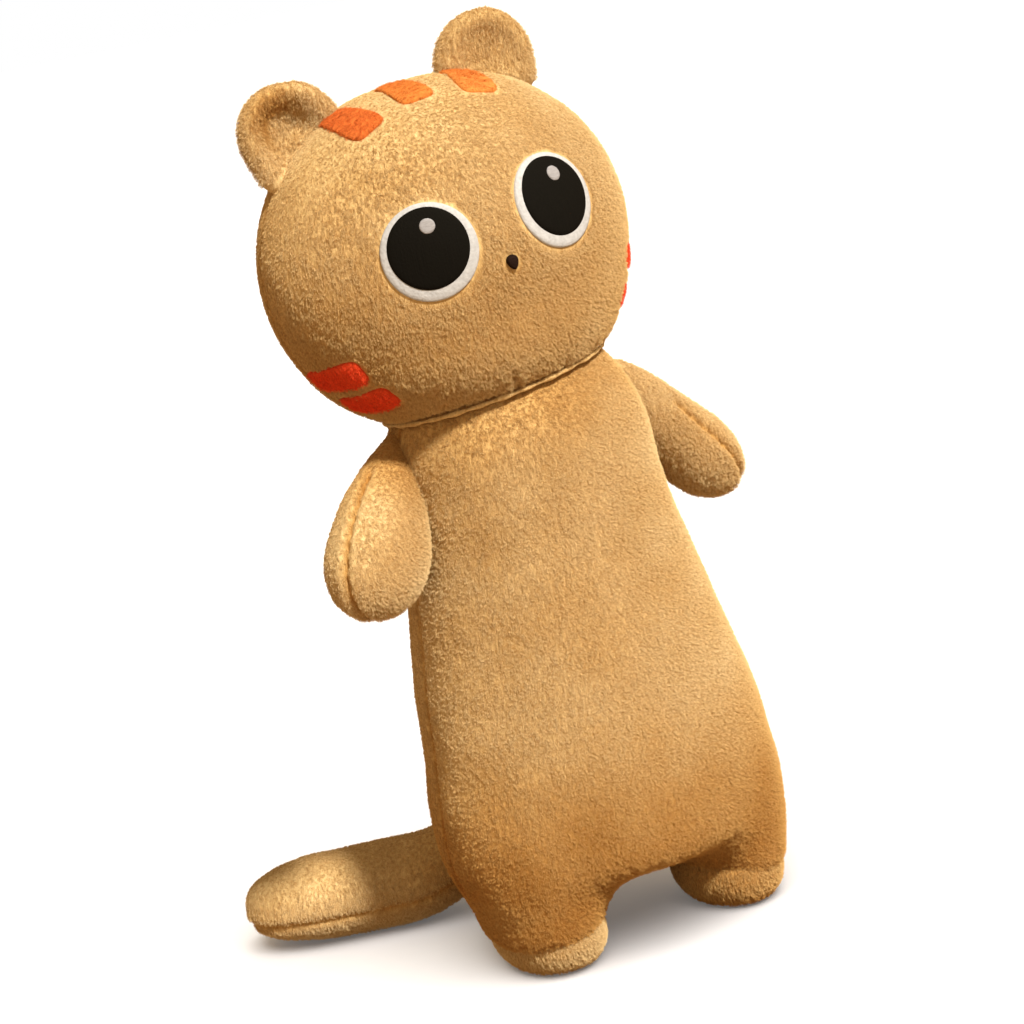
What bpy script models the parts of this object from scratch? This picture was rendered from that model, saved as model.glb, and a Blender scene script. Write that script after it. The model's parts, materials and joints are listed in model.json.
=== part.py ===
"""A plush cat, modelled as its sewn panels, stuffing and appliques.

The cat stands on the floor at z = 0 and faces -Y, so its own right side is at -X. Every
body that moves bends about a ball centred on a pivot: the neck, the shoulders and the root
of the tail. The feet bend about a cylinder across the ankle, and the ears about their base.
All sizes are in metres.
"""

from math import acos, cos, pi, radians, sin, sqrt

import bmesh
import bpy
from mathutils import Matrix, Vector

# Fabric and clearances
WALL = 0.0025
GAP = 0.0003
THREAD_R = 0.0010
SPARE = 0.0006
STUFFING_GAP = 0.0010

# Head: an oval with a round neck hole, in its own frame about its own centre
HEAD_HALF_WIDTH = 0.1080
HEAD_HALF_HEIGHT = 0.0975
HEAD_DEPTH_RATIO = 0.83
HEAD_SQUARENESS = 2.1
CHIN_START_Z = -0.030
NECK_HOLE_R = 0.0655
HEAD_TILT = radians(8.0)
HEAD_NOD = radians(-3.6)
HEAD_TURN = radians(-1.2)

# Neck: a ball joint on top of the torso
NECK_PIVOT = Vector((-0.0080, 0.0, 0.2920))
DOME_R = 0.0765
SOCKET_R = 0.0772
NECK_WAD_R = 0.045
NECK_PASSAGE_R = 0.030

# Torso: a pear that widens from the dome to the hips
HIP_Z = 0.0620
HIP_HALF_WIDTH = 0.1070
HIP_X = 0.003
HIP_DEPTH_RATIO = 0.80
CROTCH_Z = 0.044
HIP_SQUARENESS = 2.8

# Feet
FOOT_X = 0.059
FOOT_Y = -0.012
FOOT_HALF_WIDTH = 0.0350
FOOT_HALF_DEPTH = 0.047
FOOT_HALF_HEIGHT = 0.0195
SOLE_CUT = 0.0015
ANKLE_R = 0.0360
FOOT_PASSAGE_R = 0.014

# Arms: a ball at the shoulder, a narrow root and a wide paw
SHOULDER_X = 0.0815
SHOULDER_Z = 0.299
SHOULDER_BALL_R = 0.022
SHOULDER_WAD_R = 0.0155
ARM_LENGTH = 0.084
ARM_LEAVES_BALL_AT = 0.015
ARM_WIDEST_AT = 0.048
PAW_HALF_WIDTH = 0.0310
PAW_HALF_DEPTH = 0.0215
RIGHT_ARM_AIM = Vector((-0.575, -0.40, -0.735))
LEFT_ARM_AIM = Vector((0.600, 0.096, -0.790))
RIGHT_ARM_ROLL = radians(0)
LEFT_ARM_ROLL = radians(75)

# Tail: a ball at the root, then a flattened roll that comes to rest on the floor
TAIL_PIVOT = Vector((0.0, 0.088, 0.058))
TAIL_BALL_R = 0.021
TAIL_WAD_R = 0.0145
TAIL_LEAVES_BALL_AT = 0.016
TAIL_GROWS_FROM = 0.022
TAIL_LENGTH = 0.196
TAIL_HALF_WIDTH = 0.0340
TAIL_HALF_HEIGHT = 0.0255
TAIL_WIDEST_AT = 0.110
TAIL_AIM = radians(156.0)
TAIL_SETTLES_AT = 0.080
TAIL_REST_Z = 0.0260

# Ears, in the head's frame
EAR_X = 0.0600
EAR_Z = 0.0820
EAR_LEAN = radians(18.0)
EAR_HALF_WIDTH = 0.0320
EAR_HEIGHT = 0.0360
EAR_HALF_THICKNESS = 0.0085
EAR_CUP = 0.0060
EAR_CLEARANCE = 0.0040

# Face appliques, in the head's frame
EYE_X = 0.0402
EYE_Z = 0.0108
EYE_WHITE_R = 0.0275
EYE_BLACK_R = 0.0227
EYE_GLINT_R = 0.0044
EYE_GLINT_OFFSET = Vector((0.0035, 0.0128))
NOSE_Z = -0.0112
NOSE_HALF_WIDTH = 0.0039
NOSE_HALF_HEIGHT = 0.0038
FELT = 0.0010
EMBROIDERY = 0.0006
LAYER_SPARE = 0.0002

# Stripes: name, centre direction (x, y, z) from the head's centre, half width, half length,
# how much the leading end widens, and the turn about the surface normal
CROWN_STRIPES = (
    ("crown_stripe_right", (-0.0340, -0.0230, 0.0820), 0.0098, 0.0260, 0.25, radians(6)),
    ("crown_stripe_centre", (0.0000, -0.0215, 0.0880), 0.0092, 0.0255, 0.30, 0.0),
    ("crown_stripe_left", (0.0360, -0.0240, 0.0810), 0.0098, 0.0260, 0.25, radians(-6)),
)
CHEEK_STRIPES = (
    ("cheek_stripe_upper", (0.0920, -0.0190, -0.0395), 0.0078, 0.0255, 0.20),
    ("cheek_stripe_lower", (0.0810, -0.0220, -0.0590), 0.0078, 0.0230, 0.15),
)

# How finely the round forms are cut into facets
SEGMENTS = 24
RINGS = 9
LIMB_SEGMENTS = 14
LIMB_RINGS = 7
BALL_SEGMENTS = 14
BALL_RINGS = 8

COLOURS = {
    "plush": ((0.730, 0.400, 0.150), 0.95),
    "fibre": ((0.850, 0.840, 0.800), 1.00),
    "white_felt": ((0.740, 0.700, 0.640), 0.80),
    "black_felt": ((0.010, 0.007, 0.005), 0.60),
    "glint": ((0.620, 0.590, 0.570), 0.60),
    "nose": ((0.020, 0.012, 0.008), 0.60),
    "crown_stripe": ((0.870, 0.250, 0.050), 0.90),
    "cheek_stripe": ((0.720, 0.080, 0.030), 0.90),
    "thread": ((0.560, 0.280, 0.090), 0.80),
}


def clear_scene():
    for obj in list(bpy.data.objects):
        bpy.data.objects.remove(obj, do_unlink=True)


def make_material(name):
    colour, roughness = COLOURS[name]
    material = bpy.data.materials.new(name)
    material.use_nodes = True
    shader = material.node_tree.nodes["Principled BSDF"]
    shader.inputs["Base Color"].default_value = (*colour, 1.0)
    shader.inputs["Roughness"].default_value = roughness
    shader.inputs["Metallic"].default_value = 0.0
    return material


def smoothstep(t):
    t = min(max(t, 0.0), 1.0)
    return t * t * (3.0 - 2.0 * t)


def super_arc(t, power):
    """Height of a unit superellipse at distance t from its middle."""
    return max(0.0, 1.0 - min(abs(t), 1.0) ** power) ** (1.0 / power)


# ---------------------------------------------------------------- objects and solids


def make_pivot(name, place, parent=None):
    pivot = bpy.data.objects.new(name, None)
    pivot.empty_display_size = 0.01
    bpy.context.scene.collection.objects.link(pivot)
    pivot.parent = parent
    pivot.matrix_basis = place
    return pivot


def make_object(name, bm, material, parent):
    bmesh.ops.recalc_face_normals(bm, faces=bm.faces)
    mesh = bpy.data.meshes.new(name)
    bm.to_mesh(mesh)
    bm.free()
    mesh.materials.append(MATERIALS[material])
    mesh.shade_smooth()
    mesh.set_sharp_from_angle(angle=radians(40))
    obj = bpy.data.objects.new(name, mesh)
    bpy.context.scene.collection.objects.link(obj)
    obj.parent = parent
    return obj


def make_cutter(name, bm, parent):
    bmesh.ops.recalc_face_normals(bm, faces=bm.faces)
    mesh = bpy.data.meshes.new(name)
    bm.to_mesh(mesh)
    bm.free()
    obj = bpy.data.objects.new(name, mesh)
    bpy.context.scene.collection.objects.link(obj)
    obj.parent = parent
    obj.hide_render = True
    obj.display_type = "WIRE"
    return obj


def cut(obj, cutter, operation="DIFFERENCE"):
    modifier = obj.modifiers.new(f"{operation.lower()}_{cutter.name}", "BOOLEAN")
    modifier.operation = operation
    modifier.object = cutter


def skin_rings(bm, rings, start=None, end=None):
    """Join rings of points into a closed solid, with a point or a flat face at each end."""
    loops = [[bm.verts.new(point) for point in ring] for ring in rings]
    count = len(loops[0])
    for lower, upper in zip(loops, loops[1:]):
        for i in range(count):
            j = (i + 1) % count
            bm.faces.new((lower[i], lower[j], upper[j], upper[i]))
    for loop, tip in ((loops[0], start), (loops[-1], end)):
        if tip is None:
            bm.faces.new(loop)
            continue
        point = bm.verts.new(tip)
        for i in range(count):
            bm.faces.new((loop[i], loop[(i + 1) % count], point))


def ellipse(centre, across, along, segments):
    """A ring about centre, from its two half axes."""
    turns = (2.0 * pi * i / segments for i in range(segments))
    return [centre + across * cos(turn) + along * sin(turn) for turn in turns]


def ball(bm, centre, radius, segments=BALL_SEGMENTS, rings=BALL_RINGS):
    place = Matrix.Translation(centre)
    bmesh.ops.create_uvsphere(
        bm, u_segments=segments, v_segments=rings, radius=radius, matrix=place
    )


def rod(bm, centre, axis, radius, length, segments=16):
    turn = Vector((0, 0, 1)).rotation_difference(axis).to_matrix().to_4x4()
    bmesh.ops.create_cone(
        bm,
        cap_ends=True,
        segments=segments,
        radius1=radius,
        radius2=radius,
        depth=length,
        matrix=Matrix.Translation(centre) @ turn,
    )


def half_space(name, parent, side):
    """A block that covers everything on one side of the seam plane y = 0 of its frame."""
    size = 1.2
    bm = bmesh.new()
    bmesh.ops.create_cube(bm, size=size)
    shift = Matrix.Translation((0.0, side * (size / 2.0 - GAP / 2.0), 0.0))
    bmesh.ops.transform(bm, matrix=shift, verts=bm.verts)
    return make_cutter(name, bm, parent)


def wall_panel(name, form, parent, cutters):
    """The wall of a form, less everything that the cutters take away."""
    outer = bmesh.new()
    form(outer, 0.0)
    panel = make_object(name, outer, "plush", parent)
    inner = bmesh.new()
    form(inner, WALL)
    cut(panel, make_cutter(f"{name}_hollow", inner, parent))
    for cutter in cutters:
        cut(panel, cutter)


def panel_pair(names, form, parent, cutters):
    """Two panels that meet at the seam plane y = 0 of their frame."""
    for name, side in zip(names, (1.0, -1.0)):
        seam_plane = half_space(f"{name}_seam_plane", parent, side)
        wall_panel(name, form, parent, [seam_plane, *cutters])


def stuffing(name, form, parent, cutters):
    bm = bmesh.new()
    form(bm, WALL + STUFFING_GAP)
    wad = make_object(name, bm, "fibre", parent)
    for cutter in cutters:
        cut(wad, cutter)


def seam_thread(name, parent, place, radius, segments=24, sides=4):
    """A ring of stitching about the frame's Z axis."""
    bm = bmesh.new()
    around = []
    for i in range(segments):
        turn = 2.0 * pi * i / segments
        out = Vector((cos(turn), sin(turn), 0.0))
        around.append(
            ellipse(out * radius, out * THREAD_R, Vector((0, 0, THREAD_R)), sides)
        )
    loops = [[bm.verts.new(place @ point) for point in ring] for ring in around]
    for i in range(segments):
        here, after = loops[i], loops[(i + 1) % segments]
        for k in range(sides):
            m = (k + 1) % sides
            bm.faces.new((here[k], after[k], after[m], here[m]))
    return make_object(name, bm, "thread", parent)


# ---------------------------------------------------------------- head


def head_depth_ratio(z):
    """Depth over width of the head at height z: it grows to 1 at the round neck hole."""
    rim = head_rim_z()
    chin = smoothstep((CHIN_START_Z - z) / (CHIN_START_Z - rim))
    return HEAD_DEPTH_RATIO + (1.0 - HEAD_DEPTH_RATIO) * chin


def head_rim_z():
    share = super_arc(NECK_HOLE_R / HEAD_HALF_WIDTH, HEAD_SQUARENESS)
    return -HEAD_HALF_HEIGHT * share


def neck_hole_rise():
    """Height of the neck hole above the neck's pivot: its inner edge lies on the socket."""
    return sqrt(SOCKET_R**2 - (NECK_HOLE_R - WALL) ** 2)


def head_form(bm, inset):
    """The head as rings from the neck hole to the crown, each an ellipse.

    An inset form runs on below the hole, so that taking it away leaves the head open there.
    """
    half_height = HEAD_HALF_HEIGHT - inset
    half_width = HEAD_HALF_WIDTH - inset
    rim_z = head_rim_z()
    rim_r = NECK_HOLE_R - inset
    lowest = rim_z - 2.0 * inset
    levels = [rim_z] if inset == 0.0 else [lowest, rim_z]
    rings = [
        ellipse(Vector((0, 0, z)), Vector((rim_r, 0, 0)), Vector((0, rim_r, 0)), SEGMENTS)
        for z in levels
    ]
    start = acos(-rim_z / HEAD_HALF_HEIGHT)
    for i in range(1, RINGS):
        z = -half_height * cos(start + (pi - start) * i / RINGS)
        width = half_width * super_arc(z / half_height, HEAD_SQUARENESS)
        depth = width * head_depth_ratio(z)
        rings.append(
            ellipse(Vector((0, 0, z)), Vector((width, 0, 0)), Vector((0, depth, 0)), SEGMENTS)
        )
    skin_rings(bm, rings, None, Vector((0, 0, half_height)))


def head_level(point):
    """Zero on the head's surface, negative inside it."""
    width = point.x / HEAD_HALF_WIDTH
    depth = point.y / (HEAD_HALF_WIDTH * head_depth_ratio(point.z))
    flat = (width * width + depth * depth) ** (HEAD_SQUARENESS / 2.0)
    return flat + abs(point.z / HEAD_HALF_HEIGHT) ** HEAD_SQUARENESS - 1.0


def head_surface(direction):
    """The point of the head's surface that lies along a direction from its centre."""
    direction = direction.normalized()
    low, high = 0.02, 0.20
    for _ in range(40):
        middle = (low + high) / 2.0
        if head_level(direction * middle) > 0.0:
            high = middle
        else:
            low = middle
    return direction * low


def head_normal(point):
    step = 0.0005
    slope = [
        head_level(point + Vector(axis) * step) - head_level(point - Vector(axis) * step)
        for axis in ((1, 0, 0), (0, 1, 0), (0, 0, 1))
    ]
    return Vector(slope).normalized()


def applique_right(normal):
    """The sideways direction on the surface: level on the face, across the cat on the crown."""
    if normal.z > 0.7:
        across = Vector((1, 0, 0))
        return (across - normal * normal.x).normalized()
    return Vector((0, 0, 1)).cross(normal).normalized()


def applique(name, material, parent, centre, outline, lift, thickness, rings=2, segments=20):
    """A flat piece of cloth sewn on the head: it follows the surface at a height of lift."""
    origin = head_surface(Vector(centre))
    normal = head_normal(origin)
    right = applique_right(normal)
    up = normal.cross(right)

    def on_head(point, height):
        foot = head_surface(origin + right * point.x + up * point.y)
        return foot + head_normal(foot) * height

    bm = bmesh.new()
    edge = [Vector(outline(2.0 * pi * i / segments)) for i in range(segments)]
    heart = sum(edge, Vector((0.0, 0.0))) / segments
    sheets = []
    for height in (lift, lift + thickness):
        middle = bm.verts.new(on_head(heart, height))
        loops = []
        for k in range(1, rings + 1):
            spots = (heart + (point - heart) * k / rings for point in edge)
            loops.append([bm.verts.new(on_head(spot, height)) for spot in spots])
        sheets.append((middle, loops))
    for middle, loops in sheets:
        for i in range(segments):
            j = (i + 1) % segments
            bm.faces.new((middle, loops[0][i], loops[0][j]))
            for near, far in zip(loops, loops[1:]):
                bm.faces.new((near[i], far[i], far[j], near[j]))
    bottom, top = sheets[0][1][-1], sheets[1][1][-1]
    for i in range(segments):
        j = (i + 1) % segments
        bm.faces.new((bottom[i], bottom[j], top[j], top[i]))
    return make_object(name, bm, material, parent)


def disc(radius, shift=Vector((0.0, 0.0))):
    return lambda turn: (shift.x + radius * cos(turn), shift.y + radius * sin(turn))


def rounded(value, power):
    return abs(value) ** (2.0 / power) * (1.0 if value >= 0.0 else -1.0)


def stripe(half_width, half_length, flare, twist=0.0, squareness=4.0):
    """A rounded bar along v that is wider at its lower end."""

    def outline(turn):
        v = half_length * rounded(sin(turn), squareness)
        u = half_width * rounded(cos(turn), squareness) * (1.0 - flare * v / half_length)
        return u * cos(twist) - v * sin(twist), u * sin(twist) + v * cos(twist)

    return outline


def nose_outline(turn):
    """A rounded triangle that points down."""
    v = sin(turn)
    return NOSE_HALF_WIDTH * cos(turn) * (0.72 + 0.28 * v), NOSE_HALF_HEIGHT * v


def build_eye(side, sign, parent):
    centre = (sign * EYE_X, -eye_depth(), EYE_Z)
    lift = GAP + LAYER_SPARE
    applique(f"eye_white_{side}", "white_felt", parent, centre, disc(EYE_WHITE_R), lift, FELT)
    lift += FELT + GAP + LAYER_SPARE
    applique(f"eye_black_{side}", "black_felt", parent, centre, disc(EYE_BLACK_R), lift, FELT)
    lift += FELT + GAP + LAYER_SPARE
    glint = disc(EYE_GLINT_R, EYE_GLINT_OFFSET)
    applique(f"eye_glint_{side}", "glint", parent, centre, glint, lift + LAYER_SPARE, EMBROIDERY, 1, 10)


def eye_depth():
    """How far in front of the head's centre the eyes lie."""
    share = 1.0 - abs(EYE_Z / HEAD_HALF_HEIGHT) ** HEAD_SQUARENESS
    flat = share ** (2.0 / HEAD_SQUARENESS) - (EYE_X / HEAD_HALF_WIDTH) ** 2
    return HEAD_HALF_WIDTH * HEAD_DEPTH_RATIO * sqrt(flat)


def build_face(parent):
    for side, sign in (("right", -1.0), ("left", 1.0)):
        build_eye(side, sign, parent)
        for name, centre, half_width, half_length, flare in CHEEK_STRIPES:
            place = (sign * centre[0], centre[1], centre[2])
            bar = stripe(half_width, half_length, flare * sign, sign * radians(90))
            applique(f"{name}_{side}", "cheek_stripe", parent, place, bar, GAP + LAYER_SPARE, FELT, 2, 16)
    nose_place = (0.0, -HEAD_HALF_WIDTH, NOSE_Z)
    applique("nose", "nose", parent, nose_place, nose_outline, GAP, FELT, 1, 12)
    for name, centre, half_width, half_length, flare, twist in CROWN_STRIPES:
        bar = stripe(half_width, half_length, flare, twist)
        applique(name, "crown_stripe", parent, centre, bar, GAP + LAYER_SPARE, FELT, 2, 16)


def build_head(neck, head):
    """Two panels and their stuffing, open below round the dome of the torso."""
    rim_z = head_rim_z()
    pivot_z = rim_z - neck_hole_rise()
    names = ("head_front_panel", "head_back_panel")
    panel_pair(names, head_form, head, [])
    socket = bmesh.new()
    ball(socket, Vector((0, 0, pivot_z)), SOCKET_R + SPARE, 24, 14)
    neck_socket = make_cutter("neck_socket_cutter", socket, head)
    below = bmesh.new()
    depth = 0.06
    rod(below, Vector((0, 0, rim_z - depth / 2.0 + WALL)), Vector((0, 0, 1)), 0.12, depth, 24)
    rim_cutter = make_cutter("head_stuffing_rim_cutter", below, head)
    stuffing("head_stuffing", head_form, head, [neck_socket, rim_cutter])
    ring_rise = neck_hole_rise() - THREAD_R - SPARE
    ring_radius = sqrt((SOCKET_R + THREAD_R) ** 2 - ring_rise**2)
    ring_place = Matrix.Translation((0, 0, pivot_z + ring_rise))
    seam_thread("neck_seam_thread", head, ring_place, ring_radius)
    wad = bmesh.new()
    ball(wad, Vector((0, 0, 0)), NECK_WAD_R, 16, 10)
    make_object("neck_stuffing", wad, "fibre", neck)
    build_face(head)


# ---------------------------------------------------------------- ears


def ear_outline(place):
    """A rounded arch whose base edge follows the head at a clearance."""

    def base(u):
        low, high = -0.03, 0.03
        for _ in range(30):
            middle = (low + high) / 2.0
            if head_level(place @ Vector((u, 0.0, middle))) > 0.0:
                high = middle
            else:
                low = middle
        return low + EAR_CLEARANCE

    def outline(turn):
        u = EAR_HALF_WIDTH * rounded(cos(turn), 2.3)
        if sin(turn) < 0.0:
            return u, base(u)
        return u, base(u) + (EAR_HEIGHT - base(u)) * rounded(sin(turn), 2.2)

    return outline


def lens(name, material, parent, outline, middle_v, faces, rings=2, segments=16):
    """A closed solid between two curved faces over one outline, in the outline's plane."""
    bm = bmesh.new()
    sheets = []
    for face in faces:
        centre = bm.verts.new((0.0, face(0.0), middle_v))
        loops = []
        for k in range(1, rings + 1):
            scale = k / rings
            loop = []
            for i in range(segments):
                u, v = outline(2.0 * pi * i / segments)
                point = (u * scale, face(scale), middle_v + (v - middle_v) * scale)
                loop.append(bm.verts.new(point))
            loops.append(loop)
        sheets.append((centre, loops))
    for centre, loops in sheets:
        for i in range(segments):
            j = (i + 1) % segments
            bm.faces.new((centre, loops[0][i], loops[0][j]))
            for near, far in zip(loops, loops[1:]):
                bm.faces.new((near[i], far[i], far[j], near[j]))
    front, back = sheets[0][1][-1], sheets[1][1][-1]
    for i in range(segments):
        j = (i + 1) % segments
        bm.faces.new((front[i], front[j], back[j], back[i]))
    return make_object(name, bm, material, parent)


def ear_face(offset):
    """A face of the ear: it bulges at the rim's inside and dishes in the middle."""
    return lambda scale: offset * super_arc(scale * 0.96, 2.5) + EAR_CUP * (1.0 - scale**2)


def build_ear(side, place, head):
    """Two panels with a thin wad between them, all in the frame of the ear's base."""
    parent = make_pivot(f"ear_{side}_pivot", place, head)
    outline = ear_outline(place)
    thick = EAR_HALF_THICKNESS
    layers = (
        (f"ear_front_{side}", "plush", -thick, -thick + WALL),
        (f"ear_stuffing_{side}", "fibre", -thick + WALL + 2 * GAP, thick - WALL - 2 * GAP),
        (f"ear_back_{side}", "plush", thick - WALL, thick),
    )
    for name, material, front, back in layers:
        faces = (ear_face(front), ear_face(back))
        lens(name, material, parent, outline, EAR_HEIGHT * 0.45, faces)


# ---------------------------------------------------------------- torso


def torso_axis_x(z):
    """The torso leans to the cat's right towards the neck."""
    rise = smoothstep((z - HIP_Z) / (NECK_PIVOT.z - HIP_Z))
    return HIP_X + (NECK_PIVOT.x - HIP_X) * rise


def torso_form(bm, inset):
    """Rings from the flat underside over the hips and up the chest to the neck dome."""
    rings = []
    bottom = CROTCH_Z + inset
    for angle in (0.18, 0.40, 0.72):
        t = cos(angle * pi / 2.0)
        z = HIP_Z - (HIP_Z - bottom) * t
        width = (HIP_HALF_WIDTH - inset) * super_arc(t, HIP_SQUARENESS)
        depth = width * HIP_DEPTH_RATIO
        rings.append(torso_ring(z, width, depth))
    steps = 6
    for i in range(steps):
        rise = smoothstep(i / steps) ** 1.15
        z = HIP_Z + (NECK_PIVOT.z - HIP_Z) * i / steps
        width = HIP_HALF_WIDTH + (DOME_R - HIP_HALF_WIDTH) * rise
        ratio = HIP_DEPTH_RATIO + (1.0 - HIP_DEPTH_RATIO) * rise
        rings.append(torso_ring(z, width - inset, width * ratio - inset))
    dome_steps = 5
    radius = DOME_R - inset
    for i in range(dome_steps):
        rise = pi / 2.0 * i / dome_steps
        z = NECK_PIVOT.z + radius * sin(rise)
        rings.append(torso_ring(z, radius * cos(rise), radius * cos(rise)))
    tip = NECK_PIVOT + Vector((0, 0, radius))
    skin_rings(bm, rings, Vector((HIP_X, 0, bottom)), tip)


def torso_ring(z, width, depth):
    axis_z = min(z, NECK_PIVOT.z)
    centre = Vector((torso_axis_x(axis_z), 0.0, z))
    return ellipse(centre, Vector((width, 0, 0)), Vector((0, depth, 0)), SEGMENTS)


def torso_cutters(root):
    """The openings of the torso: armholes, tail hole, leg holes and the neck passage."""
    cutters = []
    passage = bmesh.new()
    rod(passage, NECK_PIVOT + Vector((0, 0, DOME_R)), Vector((0, 0, 1)), NECK_PASSAGE_R, 0.05)
    cutters.append(make_cutter("neck_passage_cutter", passage, root))
    holes = bmesh.new()
    for sign in (-1.0, 1.0):
        ball(holes, shoulder_point(sign), SHOULDER_BALL_R + 2.0 * SPARE)
    ball(holes, TAIL_PIVOT, TAIL_BALL_R + 4.0 * SPARE)
    cutters.append(make_cutter("limb_hole_cutter", holes, root))
    legs = bmesh.new()
    for sign in (-1.0, 1.0):
        centre = Vector((sign * FOOT_X, FOOT_Y, CROTCH_Z))
        half = FOOT_HALF_WIDTH + SPARE
        rod(legs, centre, Vector((1, 0, 0)), ANKLE_R + SPARE, 2.0 * half, 24)
    cutters.append(make_cutter("leg_hole_cutter", legs, root))
    return cutters


def build_torso(root):
    cutters = torso_cutters(root)
    names = ("torso_front_panel", "torso_back_panel")
    panel_pair(names, torso_form, root, cutters)
    dish = bmesh.new()
    ball(dish, NECK_PIVOT, NECK_WAD_R + 2.0 * SPARE, 16, 10)
    above = bmesh.new()
    rod(above, NECK_PIVOT + Vector((0, 0, 0.06)), Vector((0, 0, 1)), 0.1, 0.12 - 0.02)
    dish_cutter = make_cutter("neck_dish_cutter", dish, root)
    above_cutter = make_cutter("above_stuffing_cutter", above, root)
    stuffing("torso_stuffing", torso_form, root, [above_cutter, dish_cutter, *cutters[1:]])


# ---------------------------------------------------------------- limbs


def shoulder_point(sign):
    return Vector((NECK_PIVOT.x * 0.9 + sign * SHOULDER_X, 0.0, SHOULDER_Z))


def arm_sizes(t):
    """Half width and half depth of the arm at distance t from the shoulder."""
    root_r = sqrt(max(SHOULDER_BALL_R**2 - t**2, 0.0))
    leave = ARM_LEAVES_BALL_AT
    if t <= leave:
        return root_r, root_r
    narrow = sqrt(SHOULDER_BALL_R**2 - leave**2)
    grow = smoothstep((t - leave) / (ARM_WIDEST_AT - leave))
    taper = super_arc((t - ARM_WIDEST_AT) / (ARM_LENGTH - ARM_WIDEST_AT), 2.3)
    taper = 1.0 if t < ARM_WIDEST_AT else taper
    width = narrow + (PAW_HALF_WIDTH - narrow) * grow
    depth = narrow + (PAW_HALF_DEPTH - narrow) * grow
    return width * taper, depth * taper


def arm_form(bm, inset):
    """The arm along +X of its frame, from the far side of the ball to the paw's tip."""
    stations = [-SHOULDER_BALL_R * cos(radians(angle)) for angle in (25, 50, 75)]
    stations += [0.006, ARM_LEAVES_BALL_AT, 0.023, 0.031, 0.039, ARM_WIDEST_AT]
    reach = ARM_LENGTH - ARM_WIDEST_AT
    stations += [ARM_WIDEST_AT + reach * sin(radians(angle)) for angle in (25, 50, 72)]
    scale = (ARM_LENGTH - inset) / ARM_LENGTH
    rings = []
    for t in stations:
        width, depth = arm_sizes(t)
        place = Vector((t * scale, 0, 0))
        across = Vector((0, 0, max(width - inset, 0.002)))
        along = Vector((0, -max(depth - inset, 0.002), 0))
        rings.append(ellipse(place, across, along, LIMB_SEGMENTS))
    start = Vector((-SHOULDER_BALL_R + inset, 0, 0))
    skin_rings(bm, rings, start, Vector((ARM_LENGTH - inset, 0, 0)))


def aimed(origin, aim, roll=0.0):
    """A frame at origin with +X along aim and +Y level, then rolled about its +X."""
    forward = aim.normalized()
    level = Vector((0, 0, 1)).cross(forward).normalized()
    top = forward.cross(level)
    turn = Matrix((forward, level, top)).transposed().to_4x4()
    return Matrix.Translation(origin) @ turn @ Matrix.Rotation(roll, 4, "X")


def build_arm(side, sign, aim, roll, root):
    shoulder = shoulder_point(sign)
    pivot = make_pivot(f"shoulder_{side}_pivot", aimed(shoulder, aim, roll), root)
    names = (f"arm_back_panel_{side}", f"arm_front_panel_{side}")
    passage = bmesh.new()
    rod(passage, Vector((-SHOULDER_BALL_R, 0, 0)), Vector((1, 0, 0)), 0.010, 0.02, 16)
    cutter = make_cutter(f"arm_passage_cutter_{side}", passage, pivot)
    panel_pair(names, arm_form, pivot, [cutter])
    hollow = bmesh.new()
    ball(hollow, Vector((0, 0, 0)), SHOULDER_WAD_R + 2.0 * SPARE)
    block = bmesh.new()
    rod(block, Vector((-0.05, 0, 0)), Vector((1, 0, 0)), 0.05, 0.1, 16)
    hollow_cutter = make_cutter(f"shoulder_dish_cutter_{side}", hollow, pivot)
    block_cutter = make_cutter(f"shoulder_block_cutter_{side}", block, pivot)
    stuffing(f"arm_stuffing_{side}", arm_form, pivot, [block_cutter, hollow_cutter])
    wad = bmesh.new()
    ball(wad, Vector((0, 0, 0)), SHOULDER_WAD_R)
    make_object(f"shoulder_stuffing_{side}", wad, "fibre", pivot)


def tail_sizes(t):
    """Half width and half height of the tail at distance t from its root."""
    if t <= TAIL_LEAVES_BALL_AT:
        radius = sqrt(max(TAIL_BALL_R**2 - t**2, 0.0))
        return radius, radius
    narrow = sqrt(TAIL_BALL_R**2 - TAIL_LEAVES_BALL_AT**2)
    grow = smoothstep((t - TAIL_GROWS_FROM) / (TAIL_WIDEST_AT - TAIL_GROWS_FROM))
    width = narrow + (TAIL_HALF_WIDTH - narrow) * grow
    height = narrow + (TAIL_HALF_HEIGHT - narrow) * grow
    if t > TAIL_WIDEST_AT:
        taper = super_arc((t - TAIL_WIDEST_AT) / (TAIL_LENGTH - TAIL_WIDEST_AT), 3.0)
        return width * taper, height * taper
    return width, height


def tail_spine(t):
    """The tail's middle line: it drops from the root and comes to lie on the floor."""
    settle = smoothstep(t / TAIL_SETTLES_AT)
    z = TAIL_PIVOT.z + (TAIL_REST_Z - TAIL_PIVOT.z) * settle
    return Vector((t, 0.0, z - TAIL_PIVOT.z))


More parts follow.
